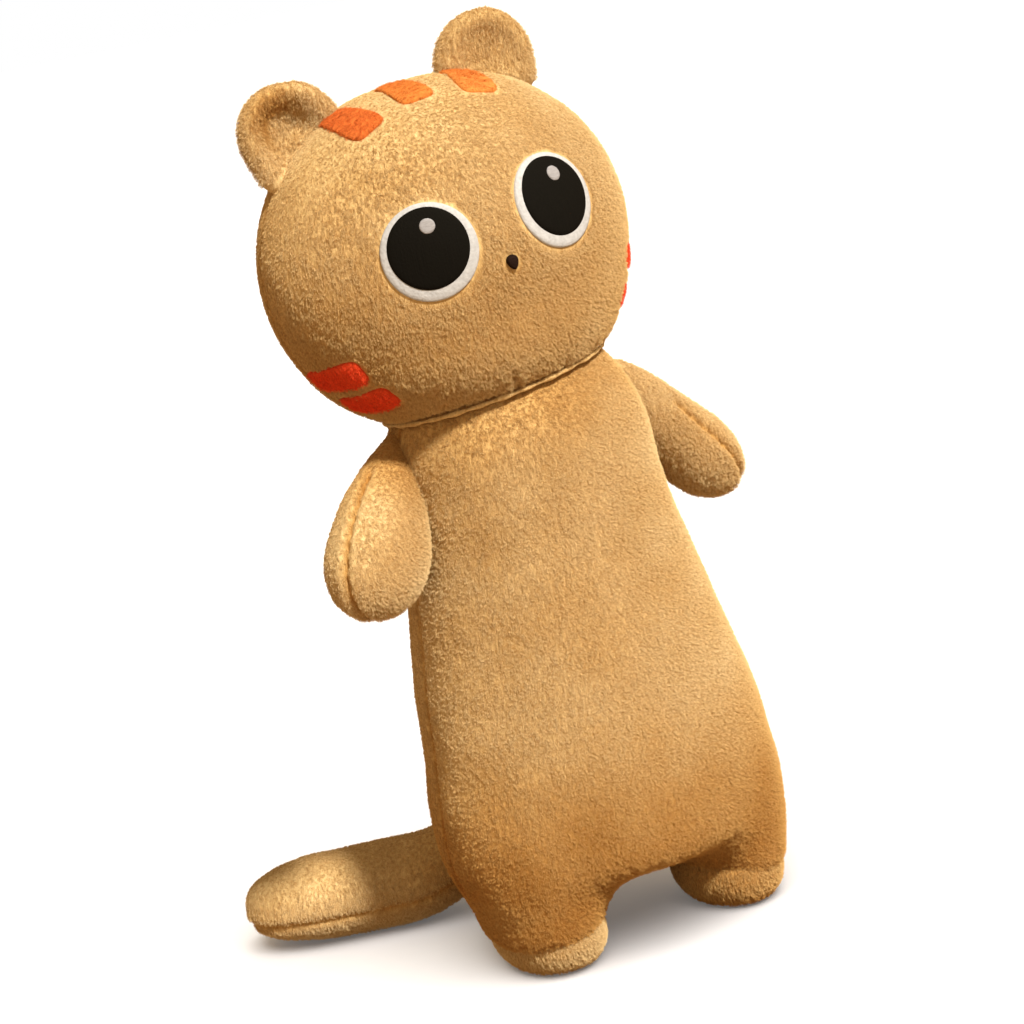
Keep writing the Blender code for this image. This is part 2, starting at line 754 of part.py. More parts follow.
def tail_form(bm, inset):
    """The tail along +X of its frame, with its spine bent down to the floor."""
    stations = [-TAIL_BALL_R * cos(radians(angle)) for angle in (25, 50, 75)]
    stations += [0.006, 0.016, 0.030, 0.046, 0.065, 0.088, TAIL_WIDEST_AT, 0.140]
    reach = TAIL_LENGTH - TAIL_WIDEST_AT
    stations += [TAIL_WIDEST_AT + reach * sin(radians(angle)) for angle in (32, 50, 68, 80)]
    scale = (TAIL_LENGTH - inset) / TAIL_LENGTH
    rings = []
    for t in sorted(stations):
        width, height = tail_sizes(t)
        middle = tail_spine(t * scale) if t > 0.0 else Vector((t * scale, 0, 0))
        across = Vector((0, max(width - inset, 0.002), 0))
        along = Vector((0, 0, max(height - inset, 0.002)))
        rings.append(ellipse(middle, across, along, LIMB_SEGMENTS))
    start = Vector((-TAIL_BALL_R + inset, 0, 0))
    tip = tail_spine(TAIL_LENGTH) - Vector((inset, 0, 0))
    skin_rings(bm, rings, start, tip)


def tail_seam_side(name, parent, side):
    """A block above or below the tail's middle line, bent to follow it."""
    half_width = 2.0 * TAIL_HALF_WIDTH
    far = side * 4.0 * TAIL_HALF_WIDTH
    rings = []
    steps = 10
    for i in range(-2, steps + 2):
        t = TAIL_LENGTH * i / steps
        level = tail_spine(t).z - side * GAP / 2.0
        corners = ((-half_width, level), (half_width, level), (half_width, far), (-half_width, far))
        rings.append([Vector((t, y, z)) for y, z in corners])
    bm = bmesh.new()
    skin_rings(bm, rings)
    return make_cutter(name, bm, parent)


def build_tail(root):
    """A top and a bottom panel; the seam runs along both sides."""
    aim = Vector((cos(TAIL_AIM), sin(TAIL_AIM), 0.0))
    pivot = make_pivot("tail_pivot", aimed(TAIL_PIVOT, aim), root)
    passage = bmesh.new()
    rod(passage, Vector((-TAIL_BALL_R, 0, 0)), Vector((1, 0, 0)), 0.010, 0.02, 16)
    cutter = make_cutter("tail_passage_cutter", passage, pivot)
    above = tail_seam_side("tail_above_seam", pivot, 1.0)
    below = tail_seam_side("tail_below_seam", pivot, -1.0)
    wall_panel("tail_bottom_panel", tail_form, pivot, [above, cutter])
    wall_panel("tail_top_panel", tail_form, pivot, [below, cutter])
    hollow = bmesh.new()
    ball(hollow, Vector((0, 0, 0)), TAIL_WAD_R + 2.0 * SPARE)
    block = bmesh.new()
    rod(block, Vector((-0.05, 0, 0)), Vector((1, 0, 0)), 0.05, 0.1, 16)
    hollow_cutter = make_cutter("tail_dish_cutter", hollow, pivot)
    block_cutter = make_cutter("tail_block_cutter", block, pivot)
    stuffing("tail_stuffing", tail_form, pivot, [block_cutter, hollow_cutter])
    wad = bmesh.new()
    ball(wad, Vector((0, 0, 0)), TAIL_WAD_R)
    make_object("tail_root_stuffing", wad, "fibre", pivot)


def foot_form(bm, inset):
    """A rounded paw on a flat sole, in the frame of the ankle."""
    rings = []
    top = FOOT_HALF_HEIGHT - inset
    centre_z = FOOT_HALF_HEIGHT - SOLE_CUT - CROTCH_Z
    low = acos(min(1.0, (FOOT_HALF_HEIGHT - SOLE_CUT) / FOOT_HALF_HEIGHT))
    for i in range(LIMB_RINGS):
        angle = low + (pi * 0.97 - low) * i / (LIMB_RINGS - 1)
        z = centre_z - top * cos(angle)
        z = max(z, inset - CROTCH_Z)
        share = sin(angle) ** 0.85
        across = Vector(((FOOT_HALF_WIDTH - inset) * share, 0, 0))
        along = Vector((0, (FOOT_HALF_DEPTH - inset) * share, 0))
        rings.append(ellipse(Vector((0, 0, z)), across, along, LIMB_SEGMENTS))
    skin_rings(bm, rings)


def ankle_form(bm, inset):
    """The top of the leg: a drum across the ankle with soft ends."""
    rings = []
    half = FOOT_HALF_WIDTH - inset
    radius = ANKLE_R - inset
    for i in range(LIMB_RINGS):
        angle = pi * (0.08 + 0.84 * i / (LIMB_RINGS - 1))
        x = -half * cos(angle)
        share = super_arc(cos(angle), 5.0)
        up = Vector((0, 0, radius * share))
        across = Vector((0, radius * share, 0))
        rings.append(ellipse(Vector((x, 0, 0)), across, up, LIMB_SEGMENTS + 4))
    skin_rings(bm, rings)


def build_foot(side, sign, root):
    place = Matrix.Translation((sign * FOOT_X, FOOT_Y, CROTCH_Z))
    pivot = make_pivot(f"ankle_{side}_pivot", place, root)
    for name, inset, material in (
        (f"foot_panel_{side}", 0.0, "plush"),
        (f"foot_stuffing_{side}", WALL + STUFFING_GAP, "fibre"),
    ):
        paw = bmesh.new()
        foot_form(paw, inset)
        piece = make_object(name, paw, material, pivot)
        drum = bmesh.new()
        ankle_form(drum, inset)
        cut(piece, make_cutter(f"{name}_ankle", drum, pivot), "UNION")
        if inset > 0.0:
            continue
        hollow = bmesh.new()
        foot_form(hollow, WALL)
        cut(piece, make_cutter(f"{name}_hollow", hollow, pivot))
        drum_hollow = bmesh.new()
        ankle_form(drum_hollow, WALL)
        cut(piece, make_cutter(f"{name}_drum_hollow", drum_hollow, pivot))
        passage = bmesh.new()
        rod(passage, Vector((0, 0, ANKLE_R)), Vector((0, 0, 1)), FOOT_PASSAGE_R, 0.02, 16)
        cut(piece, make_cutter(f"{name}_passage", passage, pivot))


# ---------------------------------------------------------------- the whole cat


def centre_on_footprint(root):
    """Move the cat so that the middle of its bounding box's floor face is the origin."""
    bpy.context.view_layer.update()
    graph = bpy.context.evaluated_depsgraph_get()
    points = []
    for obj in bpy.context.scene.objects:
        if obj.type == "MESH" and not obj.hide_render:
            shape = obj.evaluated_get(graph)
            points += [shape.matrix_world @ vert.co for vert in shape.data.vertices]
    for axis in (0, 1):
        values = [point[axis] for point in points]
        root.location[axis] = -(min(values) + max(values)) / 2.0
    root.location[2] = -min(point.z for point in points)


def build_cat():
    root = make_pivot("torso_frame", Matrix())
    neck = make_pivot("neck_pivot", Matrix.Translation(NECK_PIVOT), root)
    tilt = Matrix.Rotation(HEAD_NOD, 4, "X") @ Matrix.Rotation(-HEAD_TILT, 4, "Y")
    tilt = tilt @ Matrix.Rotation(HEAD_TURN, 4, "Z")
    rim_rise = neck_hole_rise() - head_rim_z()
    head = make_pivot("head_frame", tilt @ Matrix.Translation((0, 0, rim_rise)), neck)
    build_torso(root)
    build_head(neck, head)
    for side, sign in (("right", -1.0), ("left", 1.0)):
        lean = Matrix.Rotation(sign * EAR_LEAN, 4, "Y")
        place = Matrix.Translation((sign * EAR_X, 0.0, EAR_Z)) @ lean
        build_ear(side, place, head)
        build_foot(side, sign, root)
    build_arm("right", -1.0, RIGHT_ARM_AIM, RIGHT_ARM_ROLL, root)
    build_arm("left", 1.0, LEFT_ARM_AIM, LEFT_ARM_ROLL, root)
    build_tail(root)
    centre_on_footprint(root)


clear_scene()
MATERIALS = {name: make_material(name) for name in COLOURS}
build_cat()
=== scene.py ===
"""The looks of the plush cat: padded skins, sewn details, short pile, soft studio light.

Every piece is built in the frame's own metres. The cat faces -Y and its right side is at -X.
"""

import json
from math import cos, pi, radians, sin, sqrt

import bmesh
import bpy
import numpy as np
from mathutils import Matrix, Vector, noise
from mathutils.bvhtree import BVHTree
from mathutils.kdtree import KDTree


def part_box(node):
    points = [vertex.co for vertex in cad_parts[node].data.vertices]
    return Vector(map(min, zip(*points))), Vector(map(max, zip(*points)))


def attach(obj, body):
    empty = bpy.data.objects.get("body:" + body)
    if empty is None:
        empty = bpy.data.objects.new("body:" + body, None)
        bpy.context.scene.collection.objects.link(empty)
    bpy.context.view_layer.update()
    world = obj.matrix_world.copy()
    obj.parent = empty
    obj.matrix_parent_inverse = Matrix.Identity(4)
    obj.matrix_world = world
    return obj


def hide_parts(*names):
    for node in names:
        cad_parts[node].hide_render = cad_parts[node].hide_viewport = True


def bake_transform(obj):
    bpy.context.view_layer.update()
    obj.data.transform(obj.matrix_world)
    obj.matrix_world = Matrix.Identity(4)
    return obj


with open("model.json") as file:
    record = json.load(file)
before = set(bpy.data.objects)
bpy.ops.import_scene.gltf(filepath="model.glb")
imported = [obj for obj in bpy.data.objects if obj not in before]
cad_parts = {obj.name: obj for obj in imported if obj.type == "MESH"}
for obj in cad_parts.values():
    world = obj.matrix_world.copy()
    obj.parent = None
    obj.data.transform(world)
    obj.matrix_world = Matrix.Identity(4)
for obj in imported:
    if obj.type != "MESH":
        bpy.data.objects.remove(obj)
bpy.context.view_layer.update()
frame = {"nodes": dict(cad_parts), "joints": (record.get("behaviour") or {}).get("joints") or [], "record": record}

JOINTS = {joint["name"]: joint for joint in frame["joints"]}

# Pile. The skins lie PILE_DEPTH inside the cat's outer size, and the strands fill the rest
PILE_LENGTH = 0.0014
PILE_DEPTH = 0.0012

# Neck and head
NECK_X = -0.0080
NECK_Z = 0.2920
DOME_R = 0.0765
SOCKET_R = 0.0776
HEAD_RISE = 0.1243
HEAD_HALF_WIDTH = 0.1080
HEAD_HALF_HEIGHT = 0.0975
HEAD_DEPTH_RATIO = 0.833
HEAD_SQUARENESS = 2.1
CHIN_START_Z = -0.030
NECK_HOLE_R = 0.0655

# Torso and legs
HIP_X = 0.003
HIP_Z = 0.062
HIP_HALF_WIDTH = 0.107
HIP_DEPTH_RATIO = 0.80
CROTCH_Z = 0.046
LEG_X = 0.059
LEG_Y = -0.012
LEG_OUTER_X = 0.0925
LEG_SPREAD = 0.0100

# Limbs
RIGHT_ARM_AIM = Vector((-0.575, -0.40, -0.735))
LEFT_ARM_AIM = Vector((0.600, 0.096, -0.790))
ARM_LENGTH = 0.084
PAW_START = 0.044
TAIL_LENGTH = 0.196
TAIL_REST_DROP = 0.0315
TAIL_SETTLES_AT = 0.092
TAIL_TAPERS_AT = 0.126
TAIL_ROOT_R = 0.0205
TAIL_SEAM_DROP = 0.006

# Ears, each in its own frame
EAR_HALF_WIDTH = 0.0312
EAR_HEIGHT = 0.0375
EAR_FOOT = -0.012
EAR_THICK = 0.0072
EAR_MIDDLE = EAR_HEIGHT * 0.42

# Face, in the head's frame
EYE_X = 0.0402
EYE_Z = 0.0108
EYE_WHITE_R = 0.0275
EYE_BLACK_R = 0.0227
GLINT_R = 0.0044
GLINT_X = 0.0035
GLINT_Z = 0.0128
NOSE_Z = -0.0112

# Seams and stuffing
SIDE_SEAM_WIDTH = 0.004
SEAM_WIDTH = 0.0022
SEAM_SHADE_WIDTH = 0.0019
FILLING_COVER = 0.0030

# Studio
WORLD_STRENGTH = 0.46
WORLD_TINT = (1.0, 0.78, 0.52, 1.0)
KEY_DIRECTION = (0.24, -1.00, 1.08)
KEY_STRENGTH = 5.9
FILL_DIRECTION = (-0.6, -1.6, 0.5)
FILL_POWER = 4.0
WASH_DIRECTION = (0.0, -0.55, 1.0)
WASH_STRENGTH = 4.0
WHITE = (1.0, 1.0, 1.0, 1.0)
FLOOR_BOUNCE = (0.42, 0.29, 0.18)
FLOOR_GLOW = 0.10
CAMERA_AZIMUTH = radians(23.93)
CAMERA_ELEVATION = radians(11.48)
CAMERA_ROLL = radians(11.52)
CAMERA_DISTANCE = 1.555
CAMERA_LENS = 95.12
CAMERA_SHIFT = (-0.02661, -0.02613)


def joint_place(name):
    return Vector(JOINTS[name]["pos_m"])


def joint_axis(name):
    return Vector(JOINTS[name]["axis"]).normalized()


def frame_matrix(x, y, z, origin):
    return Matrix.Translation(origin) @ Matrix((x, y, z)).transposed().to_4x4()


def head_matrix():
    up = joint_axis("neck_turn")
    side = joint_axis("ear_fold_right") + joint_axis("ear_fold_left")
    side = (side - up * side.dot(up)).normalized()
    return frame_matrix(side, up.cross(side), up, joint_place("neck_turn") + up * HEAD_RISE)


def ear_matrix(side):
    across = joint_axis(f"ear_fold_{side}")
    back = HEAD.to_3x3() @ Vector((0, 1, 0))
    return frame_matrix(across, back, across.cross(back), joint_place(f"ear_fold_{side}"))


def limb_matrix(aim, origin, roll=0.0):
    """A frame with +X along aim and +Y level, rolled about +X."""
    forward = aim.normalized()
    level = Vector((0, 0, 1)).cross(forward).normalized()
    place = frame_matrix(forward, level, forward.cross(level), origin)
    return place @ Matrix.Rotation(roll, 4, "X")


NECK = joint_place("neck_nod")
SHIFT = NECK - Vector((NECK_X, 0.0, NECK_Z))
HEAD = head_matrix()


def ease(t):
    t = np.clip(t, 0.0, 1.0)
    return t * t * (3.0 - 2.0 * t)


def bell(distance, width):
    """1 where distance is zero, falling to 0 on both sides."""
    return np.exp(-((distance / width) ** 2))


def super_arc(t, power):
    return max(0.0, 1.0 - min(abs(t), 1.0) ** power) ** (1.0 / power)


def rounded(value, power):
    return abs(value) ** (2.0 / power) * (1.0 if value >= 0.0 else -1.0)


# ---- materials


def set_inputs(node, values):
    for name, value in values.items():
        node.inputs[name].default_value = value


def new_material(name):
    material = bpy.data.materials.new(name)
    material.use_nodes = True
    tree = material.node_tree
    tree.nodes.clear()
    output = tree.nodes.new("ShaderNodeOutputMaterial")
    shader = tree.nodes.new("ShaderNodeBsdfPrincipled")
    tree.links.new(shader.outputs[0], output.inputs[0])
    return material, tree, shader


def noise_node(tree, vector, scale, detail=2.0, stretch=(1.0, 1.0, 1.0)):
    mapping = tree.nodes.new("ShaderNodeMapping")
    set_inputs(mapping, {"Scale": stretch})
    tree.links.new(vector, mapping.inputs["Vector"])
    texture = tree.nodes.new("ShaderNodeTexNoise")
    set_inputs(texture, {"Scale": scale, "Detail": detail})
    tree.links.new(mapping.outputs[0], texture.inputs["Vector"])
    return texture.outputs["Fac"]


def object_coordinates(tree):
    return tree.nodes.new("ShaderNodeTexCoord").outputs["Object"]


def ramp_node(tree, factor, stops):
    ramp = tree.nodes.new("ShaderNodeValToRGB")
    elements = ramp.color_ramp.elements
    while len(elements) < len(stops):
        elements.new(0.5)
    for element, (position, colour) in zip(elements, stops):
        element.position = position
        element.color = (*colour, 1.0)
    tree.links.new(factor, ramp.inputs[0])
    return ramp.outputs["Color"]


def feed(tree, socket, value):
    if isinstance(value, bpy.types.NodeSocket):
        tree.links.new(value, socket)
    else:
        socket.default_value = (*value, 1.0) if isinstance(value, tuple) else value


def mix_node(tree, factor, a, b, blend_type="MIX"):
    mix = tree.nodes.new("ShaderNodeMix")
    mix.data_type = "RGBA"
    mix.blend_type = blend_type
    for socket, value in zip((0, 6, 7), (factor, a, b)):
        feed(tree, mix.inputs[socket], value)
    return mix.outputs[2]


def multiplied(tree, a, b):
    return mix_node(tree, 1.0, a, b, "MULTIPLY")


def math_node(tree, operation, a, b, c=None):
    node = tree.nodes.new("ShaderNodeMath")
    node.operation = operation
    for socket, value in zip(node.inputs, (a, b) if c is None else (a, b, c)):
        feed(tree, socket, value)
    return node.outputs[0]


def dress(tree, shader, colour, height, distance, strength):
    """Give the shader its colour, and a relief of this depth in metres."""
    tree.links.new(colour, shader.inputs["Base Color"])
    bump = tree.nodes.new("ShaderNodeBump")
    set_inputs(bump, {"Strength": strength, "Distance": distance})
    tree.links.new(height, bump.inputs["Height"])
    tree.links.new(bump.outputs[0], shader.inputs["Normal"])


def scaled(colour, factor):
    return tuple(channel * factor for channel in colour)


# Painted shade darkens red least and blue most, so the cloth turns redder.
SHADE_POWERS = (("Red", 0.55), ("Green", 1.12), ("Blue", 2.20))


def with_painted_shade(tree, colour):
    """Painted shade: the mesh's shade attribute darkens the cloth and makes it redder, in recesses and where less
    light falls; it says how much.
    """
    shade = tree.nodes.new("ShaderNodeAttribute")
    shade.attribute_name = "shade"
    tint = tree.nodes.new("ShaderNodeCombineColor")
    for channel, power in SHADE_POWERS:
        share = math_node(tree, "POWER", shade.outputs["Fac"], power)
        tree.links.new(share, tint.inputs[channel])
    return multiplied(tree, colour, tint.outputs[0])


def plush_material(name, light, dark, paint_shade=False):
    """Short combed pile: grain a few millimetres across with painted shade in its hollows, finer tips, and broad
    nap shading; painted shade from the shade attribute if asked.
    """
    nap = (1.0, 1.0, 0.35)
    material, tree, shader = new_material(name)
    place = object_coordinates(tree)
    grain = noise_node(tree, place, 420.0, 3.0, nap)
    tips = noise_node(tree, place, 1500.0, 2.0, nap)
    brushing = noise_node(tree, place, 22.0, 3.0, (1.0, 1.0, 0.6))
    height = math_node(tree, "MULTIPLY_ADD", tips, 0.45, grain)
    # The dark colour fills the grain's hollows: painted shade between the tufts.
    colour = ramp_node(tree, height, ((0.42, dark), (0.95, light)))
    broad = ramp_node(tree, brushing, ((0.35, (0.88, 0.85, 0.80)), (0.65, (1.0, 1.0, 1.0))))
    colour = multiplied(tree, colour, broad)
    colour = with_painted_shade(tree, colour) if paint_shade else colour
    dress(tree, shader, colour, height, 0.0016, 0.85)
    set_inputs(shader, {"Roughness": 0.9, "Specular IOR Level": 0.15})
    set_inputs(shader, {"Sheen Weight": 0.35, "Sheen Roughness": 0.5, "Sheen Tint": (*light, 1.0)})
    return material


def strand_material(name, root, tip, paint_shade=False):
    """The pile's strands: dark at the root as painted shade, pale at the tip, each a little different."""
    material, tree, shader = new_material(name)
    hair = tree.nodes.new("ShaderNodeHairInfo")
    colour = ramp_node(tree, hair.outputs["Intercept"], ((0.0, root), (0.8, tip)))
    shade = ramp_node(
        tree, hair.outputs["Random"], ((0.0, (0.80, 0.76, 0.70)), (1.0, (1.12, 1.12, 1.12)))
    )
    colour = multiplied(tree, colour, shade)
    colour = with_painted_shade(tree, colour) if paint_shade else colour
    tree.links.new(colour, shader.inputs["Base Color"])
    set_inputs(shader, {"Roughness": 0.75, "Specular IOR Level": 0.2})
    return material


def stitched_material(name, colour, roughness, scale, direction, depth=0.0004):
    """Satin stitch or felt: fine parallel threads along one direction."""
    material, tree, shader = new_material(name)
    place = object_coordinates(tree)
    threads = noise_node(tree, place, scale, 2.0, direction)
    fuzz = noise_node(tree, place, 900.0, 2.0)
    tint = ramp_node(tree, threads, ((0.3, scaled(colour, 0.80)), (0.7, colour)))
    dress(tree, shader, tint, math_node(tree, "ADD", threads, fuzz), depth, 0.6)
    set_inputs(shader, {"Roughness": roughness, "Specular IOR Level": 0.08})
    return material


def fibre_material():
    """Loose white polyester fibre."""
    material, tree, shader = new_material("fibrefill")
    place = object_coordinates(tree)
    tufts = noise_node(tree, place, 160.0, 4.0)
    strands = noise_node(tree, place, 900.0, 2.0, (1.0, 0.2, 0.6))
    tint = ramp_node(tree, tufts, ((0.3, (0.70, 0.69, 0.66)), (0.7, (0.90, 0.89, 0.87))))
    dress(tree, shader, tint, math_node(tree, "ADD", tufts, strands), 0.003, 0.8)
    set_inputs(shader, {"Roughness": 1.0, "Sheen Weight": 0.4})
    return material


# Tan cloth; the dark tan and the strands' root colour are painted shade deep in the pile.
TAN_LIGHT = (0.790, 0.580, 0.280)
TAN_PAINTED_SHADE = (0.440, 0.255, 0.085)
PLUSH = plush_material("tan_plush", TAN_LIGHT, TAN_PAINTED_SHADE, paint_shade=True)
STRANDS = strand_material("tan_strands", (0.43, 0.225, 0.058), (0.87, 0.675, 0.355), True)
FIBRE = fibre_material()


# ---- meshes


def link_mesh(name, mesh):
    obj = bpy.data.objects.new(name, mesh)
    bpy.context.scene.collection.objects.link(obj)
    return obj


def object_from(name, bm, material):
    bmesh.ops.recalc_face_normals(bm, faces=bm.faces)
    mesh = bpy.data.meshes.new(name)
    bm.to_mesh(mesh)
    bm.free()
    mesh.materials.append(material)
    mesh.shade_smooth()
    return link_mesh(name, mesh)


def skin_rings(bm, rings, start, end):
    """A closed form through rings of points, with a point at each end."""
    loops = [[bm.verts.new(point) for point in ring] for ring in rings]
    count = len(loops[0])
    for lower, upper in zip(loops, loops[1:]):
        for i in range(count):
            j = (i + 1) % count
            bm.faces.new((lower[i], lower[j], upper[j], upper[i]))
    for loop, tip in ((loops[0], start), (loops[-1], end)):
        point = bm.verts.new(tip)
        for i in range(count):
            bm.faces.new((loop[i], loop[(i + 1) % count], point))


def join_sheets(bm, sheets):
    """Close a top and a back sheet, each a middle point and loops round it, into one form."""
    count = len(sheets[0][1][0])
    for middle, loops in sheets:
        for i in range(count):
            j = (i + 1) % count
            bm.faces.new((middle, loops[0][i], loops[0][j]))
            for near, far in zip(loops, loops[1:]):
                bm.faces.new((near[i], far[i], far[j], near[j]))
    upper, lower = sheets[0][1][-1], sheets[1][1][-1]
    for i in range(count):
        j = (i + 1) % count
        bm.faces.new((upper[i], upper[j], lower[j], lower[i]))


def ellipse(centre, across, along, segments=48):
    turns = (2.0 * pi * i / segments for i in range(segments))
    return [centre + across * cos(turn) + along * sin(turn) for turn in turns]


def bake_modifiers(obj):
    """Replace the object's mesh with what its modifiers make of it."""
    graph = bpy.context.evaluated_depsgraph_get()
    mesh = bpy.data.meshes.new_from_object(obj.evaluated_get(graph))
    old = obj.data
    obj.modifiers.clear()
    obj.data = mesh
    bpy.data.meshes.remove(old)
    mesh.shade_smooth()


def remesh(obj, voxel, smoothing=4):
    grid = obj.modifiers.new("grid", "REMESH")
    grid.mode = "VOXEL"
    grid.voxel_size = voxel
    relax = obj.modifiers.new("relax", "SMOOTH")
    relax.factor = 0.5
    relax.iterations = smoothing
    bake_modifiers(obj)


def subdivide(obj):
    surface = obj.modifiers.new("surface", "SUBSURF")
    surface.levels = 1
    surface.render_levels = 1
    bake_modifiers(obj)


def points_of(obj):
    points = np.empty(len(obj.data.vertices) * 3, np.float32)
    obj.data.vertices.foreach_get("co", points)
    return points.reshape(-1, 3).astype(float)


def normals_of(obj):
    normals = np.empty(len(obj.data.vertices) * 3, np.float32)
    obj.data.vertices.foreach_get("normal", normals)
    return normals.reshape(-1, 3).astype(float)


def set_points(obj, points):
    obj.data.vertices.foreach_set("co", points.astype(np.float32).ravel())
    obj.data.update()


def local_points(obj, place):
    inverse = np.array(place.inverted())
    return points_of(obj) @ inverse[:3, :3].T + inverse[:3, 3]


def weight_group(obj, name, weights):
    group = obj.vertex_groups.new(name=name)
    for index in np.flatnonzero(weights > 0.01):
        group.add([int(index)], float(weights[index]), "REPLACE")


def apply_settings(target, values):
    for name, value in values.items():
        setattr(target, name, value)


PADDING_FRAMES = 20
PADDING = {
    "quality": 4, "mass": 0.15, "tension_stiffness": 20.0, "compression_stiffness": 20.0,
    "shear_stiffness": 8.0, "bending_stiffness": 0.6, "air_damping": 2.0,
    "use_pressure": True, "uniform_pressure_force": 4.0,
}


def inflate(obj, cap, held):
    """Cloth pressure pads the form out; held marks the vertices that the seams keep in place."""
    rest = points_of(obj)
    cloth = obj.modifiers.new("padding", "CLOTH")
    apply_settings(cloth.settings, PADDING)
    cloth.settings.effector_weights.gravity = 0.0
    weight_group(obj, "held", held)
    cloth.settings.vertex_group_mass = "held"
    for number in range(1, PADDING_FRAMES + 1):
        bpy.context.scene.frame_set(number)
    graph = bpy.context.evaluated_depsgraph_get()
    moved = points_of(obj.evaluated_get(graph)) - rest
    distance = np.linalg.norm(moved, axis=1, keepdims=True)
    moved *= np.minimum(1.0, cap / np.maximum(distance, 1e-9))
    obj.modifiers.clear()
    obj.vertex_groups.clear()
    set_points(obj, rest + moved)
    bpy.context.scene.frame_set(1)


def distance_to_path(points, path):
    """Distance from each point to a path, and how far along the path (0 to 1) it lies."""
    path = np.array([list(p) for p in path])
    lengths = np.linalg.norm(np.diff(path, axis=0), axis=1)
    reached = np.concatenate(([0.0], np.cumsum(lengths))) / lengths.sum()
    best = np.full(len(points), np.inf)
    along = np.zeros(len(points))
    for k in range(len(path) - 1):
        step = path[k + 1] - path[k]
        share = np.clip((points - path[k]) @ step / (step @ step), 0.0, 1.0)
        gap = np.linalg.norm(points - path[k] - share[:, None] * step, axis=1)
        closer = gap < best
        best[closer] = gap[closer]
        along[closer] = (reached[k] + (reached[k + 1] - reached[k]) * share)[closer]
    return best, along


def crease(obj, path, width, depth, lip, fade):
    """Press a groove along a path, with a soft lip on both sides, fading at its ends if asked."""
    points = points_of(obj)
    gap, along = distance_to_path(points, path)
    ends = ease(along / fade) * ease((1.0 - along) / fade) if fade else 1.0
    groove = bell(gap, width)
    ridge = lip * bell(gap - 2.0 * width, width)
    set_points(obj, points - normals_of(obj) * ((groove - ridge) * depth * ends)[:, None])


def seam_groove(obj, distance, depth, along, pucker=0.35, pitch=0.009):
    """A sewn groove where distance is zero, drawn in a little at every stitch."""
    points = points_of(obj)
    stitches = pucker * np.sin(2.0 * pi * along / pitch)
    pull = 1.0 + stitches * bell(distance, 2.5 * SEAM_WIDTH)
    lips = bell(np.abs(distance) - 2 * SEAM_WIDTH, SEAM_WIDTH)
    groove = bell(distance, SEAM_WIDTH) - 0.25 * lips
    set_points(obj, points - normals_of(obj) * (groove * depth * pull)[:, None])


def roughen(obj, size, amount, seed):
    """Slow unevenness of the stuffing under the cloth."""
    points = points_of(obj)
    shift = Vector((seed * 3.1, seed * 1.7, seed * 2.3))
    values = [noise.noise(Vector(point) / size + shift) for point in points]
    set_points(obj, points + normals_of(obj) * (np.array(values) * amount)[:, None])


def set_painted_shade(obj, values):
    """Write the shade attribute, a painted shade: 1 is open cloth, less is deeper in a fold or out of the light;
    the noise mottle is tone that differs at random.
    """
    mottle = np.array([noise.noise(Vector(point) / 0.028) for point in points_of(obj)])
    values = np.clip(values - 0.04 - 0.10 * mottle, 0.02, 1.0)
    corners = np.empty(len(obj.data.loops), np.int32)
    obj.data.loops.foreach_get("vertex_index", corners)
    colours = np.ones((len(corners), 4), np.float32)
    colours[:, :3] = values[corners][:, None]
    layer = obj.data.color_attributes.new(name="shade", type="BYTE_COLOR", domain="CORNER")
    layer.data.foreach_set("color", colours.ravel())


def along_seam(distance):
    """1 on a seam, falling to 0 beside it, where the cloth gets painted shade and its pile is thin."""
    return bell(distance, SEAM_SHADE_WIDTH)


def finish_piece(obj, body, nodes=()):
    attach(obj, body)
    if nodes:
        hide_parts(*nodes)


def finish_limb(obj, nodes):
    """Bake the limb's place into its mesh and hide the panels it stands for."""
    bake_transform(obj)
    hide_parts(*nodes)


# ---- pile


STRAND_SETTINGS = {
    "hair_step": 2, "display_step": 1, "render_step": 2, "factor_random": 0.0002,
    "child_type": "INTERPOLATED", "child_percent": 1, "rendered_child_count": 12,
    "clump_factor": 0.18, "roughness_endpoint": 0.0003, "roughness_2": 0.0003,
    "roughness_2_size": 1.0, "child_length": 1.0, "child_length_threshold": 0.4,
    "root_radius": 1.0, "tip_radius": 0.35, "radius_scale": 0.00009,
}
TAN_PILE = (PILE_LENGTH, 0.62, (0.0008, 0.0, -0.0010))
EAR_PILE = (PILE_LENGTH * 1.2, 0.45, (0.0, 0.0, -0.0008))
STRIPE_PILE = (0.0013, 0.35, (0.0, 0.0, -0.0005))


def add_pile(obj, strands, weights, kind, seed):
    """Short strands. A kind of pile is its length, parent strands per mm2, and combing."""
    length, density, comb = kind
    obj.data.materials.append(strands)
    if weights is not None:
        weight_group(obj, "pile", weights)
    system = obj.modifiers.new("pile", "PARTICLE_SYSTEM").particle_system
    settings = system.settings
    settings.type = "HAIR"
    settings.use_advanced_hair = True
    settings.count = int(sum(face.area for face in obj.data.polygons) * 1e6 * density)
    settings.hair_length = length
    settings.object_align_factor = [component / 4.0 for component in comb]
    apply_settings(settings, STRAND_SETTINGS)
    settings.material = len(obj.data.materials)
    system.seed = seed
    if weights is not None:
        system.vertex_group_density = "pile"
        system.vertex_group_length = "pile"


# ---- body


def torso_axis_x(z):
    return HIP_X + (NECK_X - HIP_X) * float(ease((z - HIP_Z) / (NECK_Z - HIP_Z)))


def torso_sizes(z):
    """Half width and half depth of the torso at height z."""
    rise = float(ease((z - HIP_Z) / (NECK_Z - HIP_Z))) ** 1.15
    width = HIP_HALF_WIDTH + (DOME_R - HIP_HALF_WIDTH) * rise - PILE_DEPTH
    ratio = HIP_DEPTH_RATIO + (1.0 - HIP_DEPTH_RATIO) * rise
    return width, width * ratio


